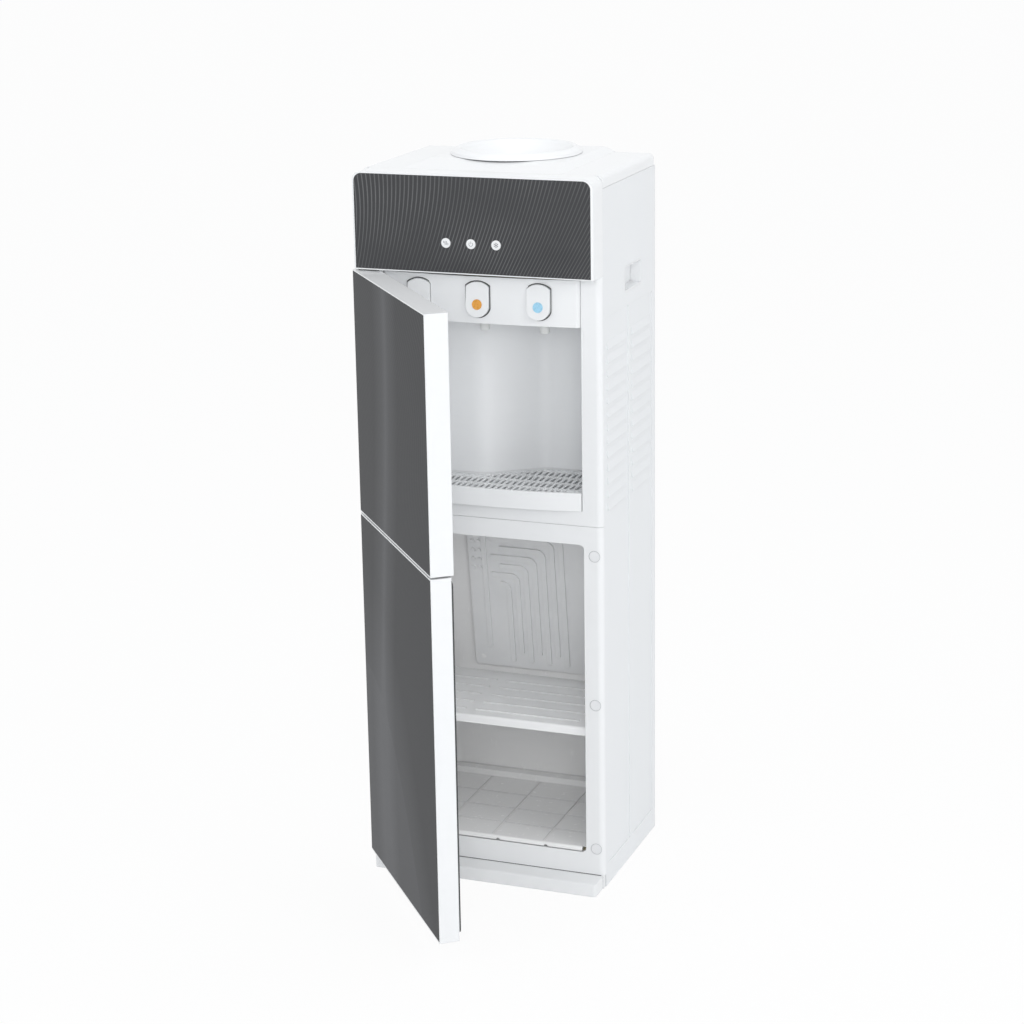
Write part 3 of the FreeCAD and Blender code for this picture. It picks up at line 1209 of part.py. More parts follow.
def cold_jacket():
    """Moulded foam jacket round the cold tank, with a lid ring below the collar."""
    z = TANK_SHELF_Z + 1.2
    clear = TANK_R + SLIP
    outer = TANK_R + TANK_JACKET_T
    top = TANK_Z + TANK_H
    return turned([(0, z), (outer, z), (outer, top + 12), (NECK_R + 12, top + 12), (NECK_R + 12, top + SLIP),
                   (clear, top + SLIP), (clear, TANK_Z - SLIP), (0, TANK_Z - SLIP)], 0, COLLAR_Y)


def condenser_bend(x, y, z, side):
    """Half ring of flattened tube that joins two level runs at one side."""
    bend = CONDENSER_PITCH / 2
    foot = (x, y - TUBE_R, z + bend)
    ring = rod(bend + TUBE_R, 2 * TUBE_R, foot, V(0, 1, 0)).cut(rod(bend - TUBE_R, 2 * TUBE_R, foot, V(0, 1, 0)))
    reach = x + side * CONDENSER_PITCH
    return ring.common(block(min(x, reach), max(x, reach), y - bend, y + bend, z - bend, z + 3 * bend))


def condenser():
    """Plate condenser: flattened serpentine tube bonded to a slotted sheet on four stand-off brackets."""
    back = REAR_Y + BACK_BULGE
    y = back + CONDENSER_STAND
    pieces = []
    for i in range(CONDENSER_RUNS):
        z = CONDENSER_Z0 + i * CONDENSER_PITCH
        pieces.append(block(-CONDENSER_HALF, CONDENSER_HALF, y - TUBE_R, y + TUBE_R, z - TUBE_R, z + TUBE_R))
        if i < CONDENSER_RUNS - 1:
            side = 1 if i % 2 == 0 else -1
            pieces.append(condenser_bend(side * CONDENSER_HALF, y, z, side))
    low = CONDENSER_Z0 - SHEET_MARGIN
    high = CONDENSER_Z0 + (CONDENSER_RUNS - 1) * CONDENSER_PITCH + SHEET_MARGIN
    sheet_y = y - TUBE_R - SHEET + BOND
    half = CONDENSER_HALF + SHEET_MARGIN
    sheet = block(-half, half, sheet_y, sheet_y + SHEET, low, high)
    slots = []
    pitch_x = 2 * CONDENSER_HALF / SLOT_COLUMNS
    for i in range(CONDENSER_RUNS - 1):
        z = CONDENSER_Z0 + i * CONDENSER_PITCH
        for j in range(SLOT_COLUMNS):
            x = -CONDENSER_HALF + j * pitch_x
            slots.append(block(x + SLOT_MARGIN, x + pitch_x - SLOT_MARGIN, sheet_y, sheet_y + SHEET,
                               z + SLOT_MARGIN, z + CONDENSER_PITCH - SLOT_MARGIN))
    pieces.append(sheet.cut(Part.makeCompound(slots)))
    for side in (-1, 1):
        x = side * CONDENSER_HALF
        for z in (low, high - BRACKET_H):
            pieces.append(block(x - BRACKET_H, x + BRACKET_H, back, sheet_y, z, z + BRACKET_H))
    return joined(pieces)


def build():
    os.makedirs("parts", exist_ok=True)
    save("base_moulding", base_moulding())
    save("lower_front_frame", lower_frame())
    save("upper_front_frame", upper_frame())
    for name, z in zip(("lower", "middle", "upper"), CAP_Z):
        save("screw_cap_" + name, screw_cap(z))
    save("hinge_bottom", bottom_hinge())
    save("hinge_middle", middle_hinge())
    save("hinge_top", top_hinge())

    save("compartment_liner", liner())
    save("cabinet_foam", foam())
    save("cooling_plate", cooling_plate())
    save("compartment_shelf", shelf())

    save("bay_liner", bay_liner())
    save("tap_panel", bulkhead())
    for i, name in enumerate(("left", "middle", "right")):
        save("tap_button_" + name, tap_button(i))
        save("tap_mark_" + name, tap_mark(i))
        save("tap_body_" + name, tap_body(i))
    save("drip_tray", drip_tray())
    save("drip_grille", drip_grille())

    save("upper_door_frame", swung(door_frame(*UPPER_DOOR_Z, DOOR_T)))
    save("upper_door_glass", swung(door_glass(*UPPER_DOOR_Z)))
    save("upper_door_inner", swung(upper_door_inner()))
    save("lower_door_frame", swung(door_frame(*LOWER_DOOR_Z, LOWER_DEPTH)))
    save("lower_door_glass", swung(door_glass(*LOWER_DOOR_Z)))
    save("lower_door_foam", swung(lower_door_core()))
    save("lower_door_lining", swung(lower_door_lining()))
    save("lower_door_gasket", swung(gasket()))

    save("control_housing", control_housing())
    save("control_glass", control_glass())
    save("indicator_lenses", indicator_lenses())
    save("control_board", control_board())
    save("top_cover", top_cover())
    save("bottle_collar", bottle_collar())

    save("side_panel_right", right_side_panel())
    save("side_panel_left", mirrored(right_side_panel()))
    save("grip_right", right_grip())
    save("grip_left", mirrored(right_grip()))
    save("back_pan", back_pan())
    save("rear_cover", rear_cover())
    save("switch_bezel", switch_bezel())
    save("rocker_left", rocker(0))
    save("rocker_right", rocker(1))
    save("mains_gland", mains_gland())
    save("drain_spout", drain_spout())
    save("drain_cap", drain_cap())

    save("mid_shelf", mid_shelf())
    save("compressor", compressor())
    save("hot_tank", hot_tank())
    save("hot_jacket", hot_jacket())
    save("tank_shelf", tank_shelf())
    save("cold_tank", cold_tank())
    save("cold_jacket", cold_jacket())
    save("condenser", condenser())


build()
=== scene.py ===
import math
from functools import partial

import bmesh
import bpy
from mathutils import Euler, Matrix, Vector


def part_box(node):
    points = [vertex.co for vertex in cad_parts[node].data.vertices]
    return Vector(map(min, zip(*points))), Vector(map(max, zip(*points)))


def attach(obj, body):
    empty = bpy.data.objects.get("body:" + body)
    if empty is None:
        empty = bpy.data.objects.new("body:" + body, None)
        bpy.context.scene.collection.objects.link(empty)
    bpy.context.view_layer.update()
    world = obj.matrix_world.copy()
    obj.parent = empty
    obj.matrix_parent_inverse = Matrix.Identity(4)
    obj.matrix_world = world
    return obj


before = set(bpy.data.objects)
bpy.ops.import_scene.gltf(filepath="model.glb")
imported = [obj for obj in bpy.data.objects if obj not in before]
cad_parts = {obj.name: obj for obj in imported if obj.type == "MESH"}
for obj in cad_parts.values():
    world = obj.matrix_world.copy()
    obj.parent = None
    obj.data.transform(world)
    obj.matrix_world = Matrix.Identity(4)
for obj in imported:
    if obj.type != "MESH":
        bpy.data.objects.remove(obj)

bl_info = {
    "name": "Water dispenser looks",
    "version": (1, 0, 0),
    "blender": (4, 5, 0),
    "location": "3D View > Sidebar > Dispenser",
    "description": "Finishes, small fittings and studio for a floor-standing water dispenser",
    "category": "Object",
}

MM = 0.001
TAU = 2 * math.pi

DOOR_OPEN = math.radians(50.93)  # how far the frame's doors stand open
DOOR_MIDDLE = 0.45               # height that the hairlines of the doors bow about
PANEL_MIDDLE = 0.91              # and those of the control panel
PLATE_LEAN = math.radians(7.94)  # cooling plate, from upright
CHANNEL_HEIGHT = 2.4 * MM        # its raised channels
PLUG_FROM_SIDE = 12 * MM         # its plugs, from its edges
PLUG_FROM_FOOT = 13 * MM
PLUG_FROM_TOP = 24 * MM
BUTTON_FOOT = 12.3 * MM          # height of a tap button's round foot
BUTTON_ARCH = 6.3 * MM           # and of its arched top
BUTTON_STAND = 5.6 * MM          # from the tap panel to the button's face
LENS_RADIUS = 6.4 * MM           # indicator light
SIGN_LINE = 0.55 * MM            # width of a sign's lines
TRIM_DEPTH = 0.12 * MM           # thin trim and signs, off the face they stand on
SCREW_FROM_SIDE = 18 * MM        # screws of the rear cover, from its edges
SCREW_FROM_END = 9 * MM

CAMERA_PLACE = (1.17195, -3.10925, 1.43563)
CAMERA_YAW = math.radians(20.734)
CAMERA_PITCH = math.radians(15.888)
CAMERA_ROLL = math.radians(-0.926)
FLOOR_REACH = 60.0               # floor, from its middle to its edges
FLOOR_WHITENESS = 0.93           # how far it is lit white where it is seen
FLOOR_DROP = 0.4 * MM            # below the feet

# Each lamp: its name, the setting with its power, its place, what it is aimed at and its diameter
LAMPS = (
    ("key_light", "key", (2.9, -1.4, 2.0), (0.0, -0.1, 0.5), 1.2),
    ("front_light", "front", (1.15, -2.9, 1.6), (0.0, 0.0, 0.35), 1.1),
    ("left_light", "left", (-2.0, -2.4, 2.0), (0.0, -0.1, 0.5), 1.8),
    ("top_light", "top", (0.1, -0.2, 3.0), (0.0, 0.0, 0.5), 1.8),
)

FORWARD = Euler((math.pi / 2, 0, 0))    # turns Z towards the front
BACKWARD = Euler((-math.pi / 2, 0, 0))  # turns Z towards the back

WHITE_MOULDINGS = (
    "base_moulding", "lower_front_frame", "upper_front_frame", "bay_liner", "tap_panel", "control_housing", "top_cover",
    "bottle_collar", "upper_door_frame", "upper_door_inner", "lower_door_frame", "grip_right", "grip_left", "drip_tray",
    "tap_button_left", "tap_button_middle", "tap_button_right",
)
SCREW_CAPS = ("screw_cap_lower", "screw_cap_middle", "screw_cap_upper")
STEEL_SHEETS = ("side_panel_right", "side_panel_left", "back_pan", "rear_cover")
PANEL_GLASS = ("control_glass",)
DOOR_GLASSES = ("upper_door_glass", "lower_door_glass")
ZINC_PIECES = ("hinge_bottom", "hinge_middle", "hinge_top", "mid_shelf", "tank_shelf")
FOAMS = ("cabinet_foam", "lower_door_foam", "hot_jacket", "cold_jacket")
TANKS = ("hot_tank", "cold_tank")
VALVES = ("tap_body_left", "tap_body_middle", "tap_body_right", "drain_spout", "drain_cap")


# ---- Shader maths ---------------------------------------------------------------------------
class Value:
    """A number socket that can be used in Python sums; each step adds one Math node."""

    def __init__(self, shader, socket):
        self.shader = shader
        self.socket = socket

    def step(self, operation, first, second=None):
        values = {0: first} if second is None else {0: first, 1: second}
        return self.shader.node("ShaderNodeMath", {"operation": operation}, values)

    def __add__(self, other):
        return self.step("ADD", self, other)

    __radd__ = __add__

    def __mul__(self, other):
        return self.step("MULTIPLY", self, other)

    __rmul__ = __mul__

    def __sub__(self, other):
        return self.step("SUBTRACT", self, other)

    def __rsub__(self, other):
        return self.step("SUBTRACT", other, self)

    def absolute(self):
        return self.step("ABSOLUTE", self)

    def largest(self, other):
        return self.step("MAXIMUM", self, other)

    def sine(self):
        return self.step("SINE", self)


class Shader:
    """The node tree of a material or of the world, under construction."""

    def __init__(self, owner, output="ShaderNodeOutputMaterial"):
        owner.use_nodes = True
        self.owner = owner
        self.tree = owner.node_tree
        self.tree.nodes.clear()
        self.output = self.tree.nodes.new(output)

    def node(self, kind, settings=None, values=None, out=0):
        """New node: its settings first, such as a ramp's stops, then the values or links of its sockets."""
        made = self.tree.nodes.new(kind)
        for key, setting in (settings or {}).items():
            if key == "stops":
                self.set_stops(made.color_ramp.elements, setting)
            else:
                setattr(made, key, setting)
        for key, value in (values or {}).items():
            self.feed(made.inputs[key], value)
        return Value(self, made.outputs[out])

    def feed(self, socket, value):
        if isinstance(value, Value):
            self.tree.links.new(value.socket, socket)
        else:
            socket.default_value = value

    def set_stops(self, elements, stops):
        """Positions and greys of a ramp."""
        while len(elements) < len(stops):
            elements.new(0.5)
        for element, (position, grey) in zip(elements, stops):
            element.position = position
            element.color = (grey, grey, grey, 1)

    def ramp(self, factor, stops):
        """Number read off a curve of (position, height) stops."""
        return self.node("ShaderNodeValToRGB", {"stops": stops}, {0: factor})

    def place(self):
        """Position on the piece, in metres."""
        return self.node("ShaderNodeTexCoord", out=3)

    def parts(self, vector):
        """The three numbers of a vector."""
        split = self.node("ShaderNodeSeparateXYZ", None, {0: vector}).socket.node
        return [Value(self, socket) for socket in split.outputs]

    def seen(self):
        """One where a surface is seen directly, in a reflection or through glass."""
        path = self.node("ShaderNodeLightPath").socket.node
        camera, glossy, through = [
            Value(self, path.outputs[ray]) for ray in ("Is Camera Ray", "Is Glossy Ray", "Is Transmission Ray")]
        return camera.largest(glossy).largest(through)

    def finish(self, shader):
        self.tree.links.new(shader.socket, self.output.inputs["Surface"])
        return self.owner

    def scaled(self, vector, scale):
        return self.node("ShaderNodeMapping", None, {"Vector": vector, "Scale": scale})

    def noise(self, vector, scale, detail=2.0, roughness=0.5):
        values = {"Vector": vector, "Scale": scale, "Detail": detail, "Roughness": roughness}
        return self.node("ShaderNodeTexNoise", None, values)

    def crevice(self, distance):
        """Darker value deep in corners and gaps narrower than the distance."""
        return self.node("ShaderNodeAmbientOcclusion", {"samples": 8}, {"Distance": distance}, out=1)

    def mix(self, factor, first, second):
        return self.node("ShaderNodeMix", {"data_type": "RGBA"}, {0: factor, 6: first, 7: second}, out=2)

    def normal(self, height, distance, strength=1.0, edge=0.0):
        """Bump from a height, over edges that look rounded to the radius given."""
        values = {"Height": height, "Distance": distance, "Strength": strength}
        if edge > 0:
            values["Normal"] = self.node("ShaderNodeBevel", {"samples": 6}, {"Radius": edge})
        return self.node("ShaderNodeBump", None, values)

    def surface(self, values):
        return self.finish(self.node("ShaderNodeBsdfPrincipled", None, values))


def material(name):
    """New material, ready for its nodes."""
    return Shader(bpy.data.materials.new(name))


def rgba(colour, gain=1.0):
    """Colour for a socket, made darker or lighter."""
    return (colour[0] * gain, colour[1] * gain, colour[2] * gain, 1)


# ---- Finishes -------------------------------------------------------------------------------
def moulded(name, colour, rough=0.3, grain=0.05, edge=0.7, coat=0.2, painted_shade=0.0):
    """Injection-moulded plastic: faint flow mottling, fine grain and softly rounded edges.

    Its last argument sets how far seams and grooves are darkened as painted shade.
    """
    s = material(name)
    place = s.place()
    cloud = s.noise(place, scale=7.0, detail=3.0)
    flow = s.noise(s.scaled(place, (3.0, 3.0, 22.0)), scale=5.0, detail=2.0)
    fine = s.noise(place, scale=1400.0, detail=2.0)
    wipe = s.noise(s.scaled(place, (60.0, 60.0, 9.0)), scale=3.0, detail=3.0)
    tone = s.mix(cloud * 0.6 + flow * 0.4, rgba(colour, 0.975), rgba(colour, 1.015))
    # Painted shade: colour mixed darker where nearby faces close in, in seams, grooves and corners.
    if painted_shade > 0:
        open_part = s.ramp(s.crevice(5.0 * MM), ((0.0, 0.0), (0.35, 0.25), (0.75, 1.0)))
        tone = s.mix((1.0 - open_part) * painted_shade, tone, rgba(colour, 0.45))
    return s.surface({
        "Base Color": tone,
        "Roughness": rough + wipe * 0.10 - 0.05 + fine * 0.03,
        "Coat Weight": coat, "Coat Roughness": 0.12, "IOR": 1.49,
        "Normal": s.normal(fine * grain + flow * 0.3, 0.25 * MM, 0.35, edge * MM),
    })


def painted_sheet(name, colour):
    """Baked paint on sheet steel: orange peel, faint long waves and a little dust in the gloss."""
    s = material(name)
    place = s.place()
    peel = s.noise(place, scale=420.0, detail=2.0, roughness=0.4)
    wave = s.noise(s.scaled(place, (2.0, 2.0, 0.8)), scale=4.0, detail=2.0)
    dust = s.noise(place, scale=2300.0, detail=1.0)
    tone = s.mix(wave, rgba(colour, 0.97), rgba(colour, 1.01))
    return s.surface({
        "Base Color": tone,
        "Roughness": 0.34 + dust * 0.08 + wave * 0.05,
        "Coat Weight": 0.15, "Coat Roughness": 0.2, "IOR": 1.5,
        "Normal": s.normal(peel + wave * 2.0, 0.12 * MM, 0.3, 0.5 * MM),
    })


def hairline_glass(name, looks, lean, middle, lines, sheen, shine):
    """Dark print behind glass with curved hairlines that fan out, and soft lighter bands of painted sheen.

    lean is the angle of the pane in plan and middle its height; lines, sheen and shine are strengths.
    """
    s = material(name)
    place = s.place()
    x, y, z = s.parts(place)
    across = x * math.cos(lean) - y * math.sin(lean)
    rise = z - middle
    tilt, bend, wander = 0.30, 1.6, 0.03
    band_place, band_swing, swings = 0.115, 0.03, 5.2
    arch_foot, arch_bow = 0.30, 4.5
    swell = s.noise(s.scaled(place, (1.0, 1.0, 0.7)), scale=4.0, detail=1.0)
    slope = across * looks.line_fan + tilt
    bow = rise * rise * bend
    phase = (across - rise * slope + bow + swell * wander) * (TAU / looks.line_pitch)
    line = s.ramp(phase.sine() * 0.5 + 0.5, ((0.0, 0.0), (0.70, 0.02), (1.0, 1.0)))
    breath = s.noise(s.scaled(place, (1.0, 1.0, 1.6)), scale=9.0, detail=2.0)
    fine = line * (breath * 1.3 - 0.05) * lines
    # Painted sheen: a soft lighter band down the pane and an arch low on it, mixed into the print's colour.
    drift = (z * swings + 0.6).sine() * band_swing
    band = s.ramp((across - band_place + drift).absolute(), ((0.0, 1.0), (0.016, 0.55), (0.055, 0.0)))
    arch = s.ramp(z - arch_foot + across * across * arch_bow, ((0.0, 1.0), (0.004, 0.72), (0.16, 0.0)))
    smear = s.noise(s.scaled(place, (30.0, 30.0, 6.0)), scale=4.0, detail=4.0)
    print_and_sheen = s.mix((band + arch * 0.7) * sheen, rgba(looks.glass_colour), rgba(looks.glass_colour, 2.1))
    return s.surface({
        "Base Color": s.mix(fine, print_and_sheen, rgba(looks.line_colour)),
        "Roughness": 0.09 + smear * 0.05,
        "IOR": 1.5, "Specular IOR Level": shine,
        "Normal": s.normal(smear, 0.02 * MM, 0.15, 0.4 * MM),
    })


def metal(name, colour, rough, stretch, edge=0.4):
    """Rolled or drawn metal with marks that run one way."""
    s = material(name)
    place = s.place()
    drawn = s.noise(s.scaled(place, stretch), scale=60.0, detail=4.0, roughness=0.6)
    spangle = s.noise(place, scale=90.0, detail=2.0)
    return s.surface({
        "Base Color": s.mix(spangle, rgba(colour, 0.86), rgba(colour, 1.08)),
        "Metallic": 1.0,
        "Roughness": rough + drawn * 0.16 - 0.05,
        "Normal": s.normal(drawn, 0.05 * MM, 0.3, edge * MM),
    })


def foamed(name, colour):
    """Cut rigid foam with open cells and browner patches."""
    s = material(name)
    place = s.place()
    cells = s.node("ShaderNodeTexVoronoi", None, {"Vector": place, "Scale": 420.0})
    patch = s.noise(place, scale=14.0, detail=3.0)
    return s.surface({
        "Base Color": s.mix(patch, rgba(colour, 0.8), rgba(colour, 1.05)),
        "Roughness": 0.82 + cells * 0.12,
        "Normal": s.normal(cells, 0.6 * MM, 0.6),
    })


def coated_plate(name):
    """Roll-bonded plate under a thin pale coat, with frost-like speckle."""
    s = material(name)
    place = s.place()
    speckle = s.noise(place, scale=700.0, detail=3.0, roughness=0.7)
    cloud = s.noise(place, scale=18.0, detail=3.0)
    return s.surface({
        "Base Color": s.mix(cloud, (0.80, 0.81, 0.82, 1), (0.91, 0.915, 0.92, 1)),
        "Metallic": 0.12 + speckle * 0.1,
        "Roughness": 0.38 + cloud * 0.16,
        "Normal": s.normal(speckle, 0.15 * MM, 0.3, 1.2 * MM),
    })


def rubber_and_shade(name, colour):
    """Soft black rubber with a greyish bloom; the same dark finish is also laid in gaps and recesses as painted shade.
    """
    s = material(name)
    place = s.place()
    bloom = s.noise(place, scale=40.0, detail=4.0)
    return s.surface({
        "Base Color": s.mix(bloom, rgba(colour, 0.8), rgba(colour, 1.3)),
        "Roughness": 0.55 + bloom * 0.2,
        "Normal": s.normal(s.noise(place, scale=900.0, detail=2.0), 0.15 * MM, 0.4, 0.8 * MM),
    })


def tinted_disc(name, colour):
    """Small coloured inlay with a fine pearly mottle, under a clear gloss."""
    s = material(name)
    place = s.place()
    pearl = s.noise(place, scale=260.0, detail=3.0)
    return s.surface({
        "Base Color": s.mix(pearl, rgba(colour, 0.85), rgba(colour, 1.12)),
        "Roughness": 0.22 + pearl * 0.12,
        "Coat Weight": 0.5, "Coat Roughness": 0.05,
        "Normal": s.normal(pearl, 0.05 * MM, 0.2, 0.5 * MM),
    })


def laminate(name):
    """Circuit board: green lacquer over tracks that show as raised lighter lines."""
    s = material(name)
    place = s.place()
    cell = s.node("ShaderNodeTexVoronoi", {"distance": "MANHATTAN"}, {"Vector": place, "Scale": 150.0})
    track = s.ramp(cell, ((0.0, 0.0), (0.42, 0.0), (0.5, 1.0)))
    return s.surface({
        "Base Color": s.mix(track, (0.012, 0.085, 0.035, 1), (0.03, 0.17, 0.07, 1)),
        "Roughness": 0.32 + track * 0.1,
        "Normal": s.normal(track, 0.1 * MM, 0.5, 0.3 * MM),
    })


def dress(names, finish):
    """Give the frame's own pieces one finish."""
    for name in names:
        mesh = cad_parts[name].data
        mesh.materials.clear()
        mesh.materials.append(finish)


# ---- Meshes ---------------------------------------------------------------------------------
def piece(name, mesh_maker, finish, body):
    """New mesh object made by a bmesh function, in its finish, riding on a body."""
    bm = bmesh.new()
    mesh_maker(bm)
    bmesh.ops.recalc_face_normals(bm, faces=bm.faces)
    mesh = bpy.data.meshes.new(name)
    bm.to_mesh(mesh)
    bm.free()
    for polygon in mesh.polygons:
        polygon.use_smooth = True
    mesh.materials.append(finish)
    obj = bpy.data.objects.new(name, mesh)
    bpy.context.scene.collection.objects.link(obj)
    obj.modifiers.new("edges", "EDGE_SPLIT").split_angle = math.radians(35)
    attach(obj, body)


def lathe(bm, profile, centre, axis_turn, segments=28):
    """Closed ring surface from (radius, height) pairs, height along the turned Z axis."""
    turn = axis_turn.to_matrix()
    rings = []
    for radius, height in profile:
        ring = []
        for i in range(segments):
            a = TAU * i / segments
            point = Vector((radius * math.cos(a), radius * math.sin(a), height))
            ring.append(bm.verts.new(centre + turn @ point))
        rings.append(ring)
    for low, high in zip(rings, rings[1:]):
        bridge(bm, low, high)
    bm.faces.new(list(reversed(rings[0])))
    bm.faces.new(rings[-1])


def washer(bm, centre, inner, outer, height, axis_turn, segments=36):
    """Flat ring that stands on a face."""
    turn = axis_turn.to_matrix()
    rows = []
    for radius, lift in ((inner, 0), (inner, height), (outer, height), (outer, 0)):
        angles = [TAU * i / segments for i in range(segments)]
        rows.append([bm.verts.new(centre + turn @ Vector((radius * math.cos(a), radius * math.sin(a), lift)))
                     for a in angles])
    for k in range(4):
        bridge(bm, rows[k], rows[(k + 1) % 4])


def bridge(bm, here, there):
    """Faces between two closed rows of points."""
    count = len(here)
    for i in range(count):
        j = (i + 1) % count
        bm.faces.new((here[i], here[j], there[j], there[i]))


def bar(bm, start, end, width, depth):
    """Thin bar with rounded ends in the plane y = constant, standing depth towards the front."""
    along = (end - start).normalized()
    side = Vector((-along.z, 0, along.x))
    outline = []
    for centre, base in ((end, 0.0), (start, math.pi)):
        for i in range(7):
            a = base + math.pi / 2 - math.pi * i / 6
            outline.append(centre + (along * math.cos(a) + side * math.sin(a)) * width / 2)
    front = [bm.verts.new(p + Vector((0, -depth, 0))) for p in outline]
    back = [bm.verts.new(p) for p in outline]
    bm.faces.new(front)
    bm.faces.new(list(reversed(back)))
    bridge(bm, back, front)


def arc(bm, centre, radius, start, end, width, depth):
    """Curved bar from one angle to another, as short joined bars."""
    turn_per_bar = 0.26
    steps = max(6, int(abs(end - start) / turn_per_bar))
    lift = Vector((0, -depth, 0))
    rows = []
    for i in range(steps + 1):
        a = start + (end - start) * i / steps
        out = Vector((math.cos(a), 0, math.sin(a)))
        near = centre + out * (radius - width / 2)
        far = centre + out * (radius + width / 2)
        rows.append([bm.verts.new(p) for p in (near, far, far + lift, near + lift)])
    for here, there in zip(rows, rows[1:]):
        bridge(bm, here, there)
    bm.faces.new(list(reversed(rows[0])))
    bm.faces.new(rows[-1])


def button_line(low, high, grow, steps=18):
    """Points along a tap button's outline, grown outwards: round foot, straight sides, arched top."""
    middle = (low.x + high.x) / 2
    half = (high.x - low.x) / 2 + grow
    points = []
    for z_edge, depth, inwards in ((low.z - grow, BUTTON_FOOT, 1), (high.z + grow, BUTTON_ARCH, -1)):
        radius = (half * half + depth * depth) / (2 * depth)
        swing = math.asin(min(1.0, half / radius))
        if depth > radius:
            swing = math.pi - swing
        for i in range(steps + 1):
            a = -swing + 2 * swing * i / steps
            points.append((middle + inwards * radius * math.sin(a), z_edge + inwards * radius * (1 - math.cos(a))))
    return points


def box_of(name):
    """Lowest and highest corner of one of the frame's pieces."""
    low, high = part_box(name)
    return Vector(low), Vector(high)


# ---- Settings -------------------------------------------------------------------------------
class DispenserLooks(bpy.types.PropertyGroup):
    """Colours and the print of the glass"""
    white: bpy.props.FloatVectorProperty(
        name="White plastic", description="Colour of the white mouldings", subtype="COLOR", size=3,
        default=(0.86, 0.87, 0.88), min=0, max=1)
    caps: bpy.props.FloatVectorProperty(
        name="Screw caps", description="Colour of the screw caps", subtype="COLOR", size=3,
        default=(0.83, 0.84, 0.855), min=0, max=1)
    paint: bpy.props.FloatVectorProperty(
        name="Paint", description="Colour of the painted steel", subtype="COLOR", size=3,
        default=(0.83, 0.845, 0.86), min=0, max=1)
    lining: bpy.props.FloatVectorProperty(
        name="Lining", description="Colour of the cold compartment", subtype="COLOR", size=3,
        default=(0.92, 0.92, 0.92), min=0, max=1)
    glass_colour: bpy.props.FloatVectorProperty(
        name="Glass", description="Dark print behind the glass", subtype="COLOR", size=3,
        default=(0.058, 0.059, 0.062), min=0, max=1)
    line_colour: bpy.props.FloatVectorProperty(
        name="Hairlines", description="Hairlines in the print", subtype="COLOR", size=3,
        default=(0.22, 0.222, 0.226), min=0, max=1)
    line_pitch: bpy.props.FloatProperty(
        name="Hairline pitch", description="Distance between hairlines", subtype="DISTANCE", unit="LENGTH",
        default=5.2 * MM, min=0.5 * MM, max=20 * MM, precision=5)
    line_fan: bpy.props.FloatProperty(
        name="Hairline fan", description="How much more the hairlines lean for each metre to the right",
        default=1.5, min=0, max=5)
    ring_colour: bpy.props.FloatVectorProperty(
        name="Button gap", description="Shaded gap round each tap button", subtype="COLOR", size=3,
        default=(0.05, 0.052, 0.056), min=0, max=1)


class DispenserStudio(bpy.types.PropertyGroup):
    """Camera lens and lights"""
    lens: bpy.props.FloatProperty(
        name="Lens", description="Focal length of the camera", subtype="DISTANCE_CAMERA", default=88.22, min=10,
        max=300)
    key: bpy.props.FloatProperty(
        name="Key light", description="Power of the large light at the right front", subtype="POWER", default=16.5,
        min=0)
    front: bpy.props.FloatProperty(
        name="Front light", description="Power of the light beside the camera", subtype="POWER", default=18.5, min=0)
    left: bpy.props.FloatProperty(
        name="Left light", description="Power of the light at the left front", subtype="POWER", default=10.0, min=0)
    top: bpy.props.FloatProperty(
        name="Top light", description="Power of the overhead light", subtype="POWER", default=10.0, min=0)
    ambient: bpy.props.FloatProperty(
        name="Room light", description="Strength of the light from all round", default=0.74, min=0, max=2)


# ---- Operators ------------------------------------------------------------------------------
class WhiteMouldings(bpy.types.Operator):
    """White plastic of frames, doors, panel housing, top, bay and tap buttons"""
    bl_idname = "dispenser.white_mouldings"
    bl_label = "White mouldings"

    def execute(self, context):
        looks = context.scene.dispenser_looks
        dress(WHITE_MOULDINGS, moulded("white_plastic", looks.white, rough=0.30, painted_shade=0.45))
        dress(SCREW_CAPS, moulded("cap_plastic", looks.caps, rough=0.34, grain=0.05, edge=1.0, coat=0.1))
        low, high = box_of("lower_front_frame")
        self.cap_seats(low.y)
        self.plinth_gap(low, high)
        return {"FINISHED"}

    def cap_seats(self, frame_face):
        """Thin grey ring of painted shadow round each screw cap, where the gap round it falls in shade."""
        near, far = 0.1 * MM, 0.7 * MM

        def shadow_rings(bm):
            for name in SCREW_CAPS:
                low, high = box_of(name)
                centre = (low + high) / 2
                radius = (high.x - low.x) / 2
                washer(bm, Vector((centre.x, frame_face, centre.z)), radius + near, radius + far, TRIM_DEPTH, FORWARD)

        # Painted shadow: a grey ring on the frame face round each cap.
        shade = moulded("cap_seat", (0.50, 0.515, 0.53), rough=0.5, grain=0.02, edge=0.2, coat=0.0)
        piece("cap_seats", shadow_rings, shade, "cabinet")

    def plinth_gap(self, low, high):
        """Shaded line where the lower frame meets the base."""
        width, ends = 0.9 * MM, 5.0 * MM
        z = low.z + width / 2

        def line(bm):
            bar(bm, Vector((low.x + ends, low.y, z)), Vector((high.x - ends, low.y, z)), width, TRIM_DEPTH)

        shade = moulded("plinth_shade", (0.07, 0.07, 0.075), rough=0.6, grain=0.02, edge=0.2, coat=0.0)
        piece("plinth_gap", line, shade, "cabinet")


class PaintedSteel(bpy.types.Operator):
    """Baked paint of the side panels and the back"""
    bl_idname = "dispenser.painted_steel"
    bl_label = "Painted steel"

    def execute(self, context):
        dress(STEEL_SHEETS, painted_sheet("white_paint", context.scene.dispenser_looks.paint))
        dress(ZINC_PIECES, metal("zinc_plate", (0.62, 0.63, 0.64), rough=0.30, stretch=(1.0, 12.0, 1.0)))
        return {"FINISHED"}


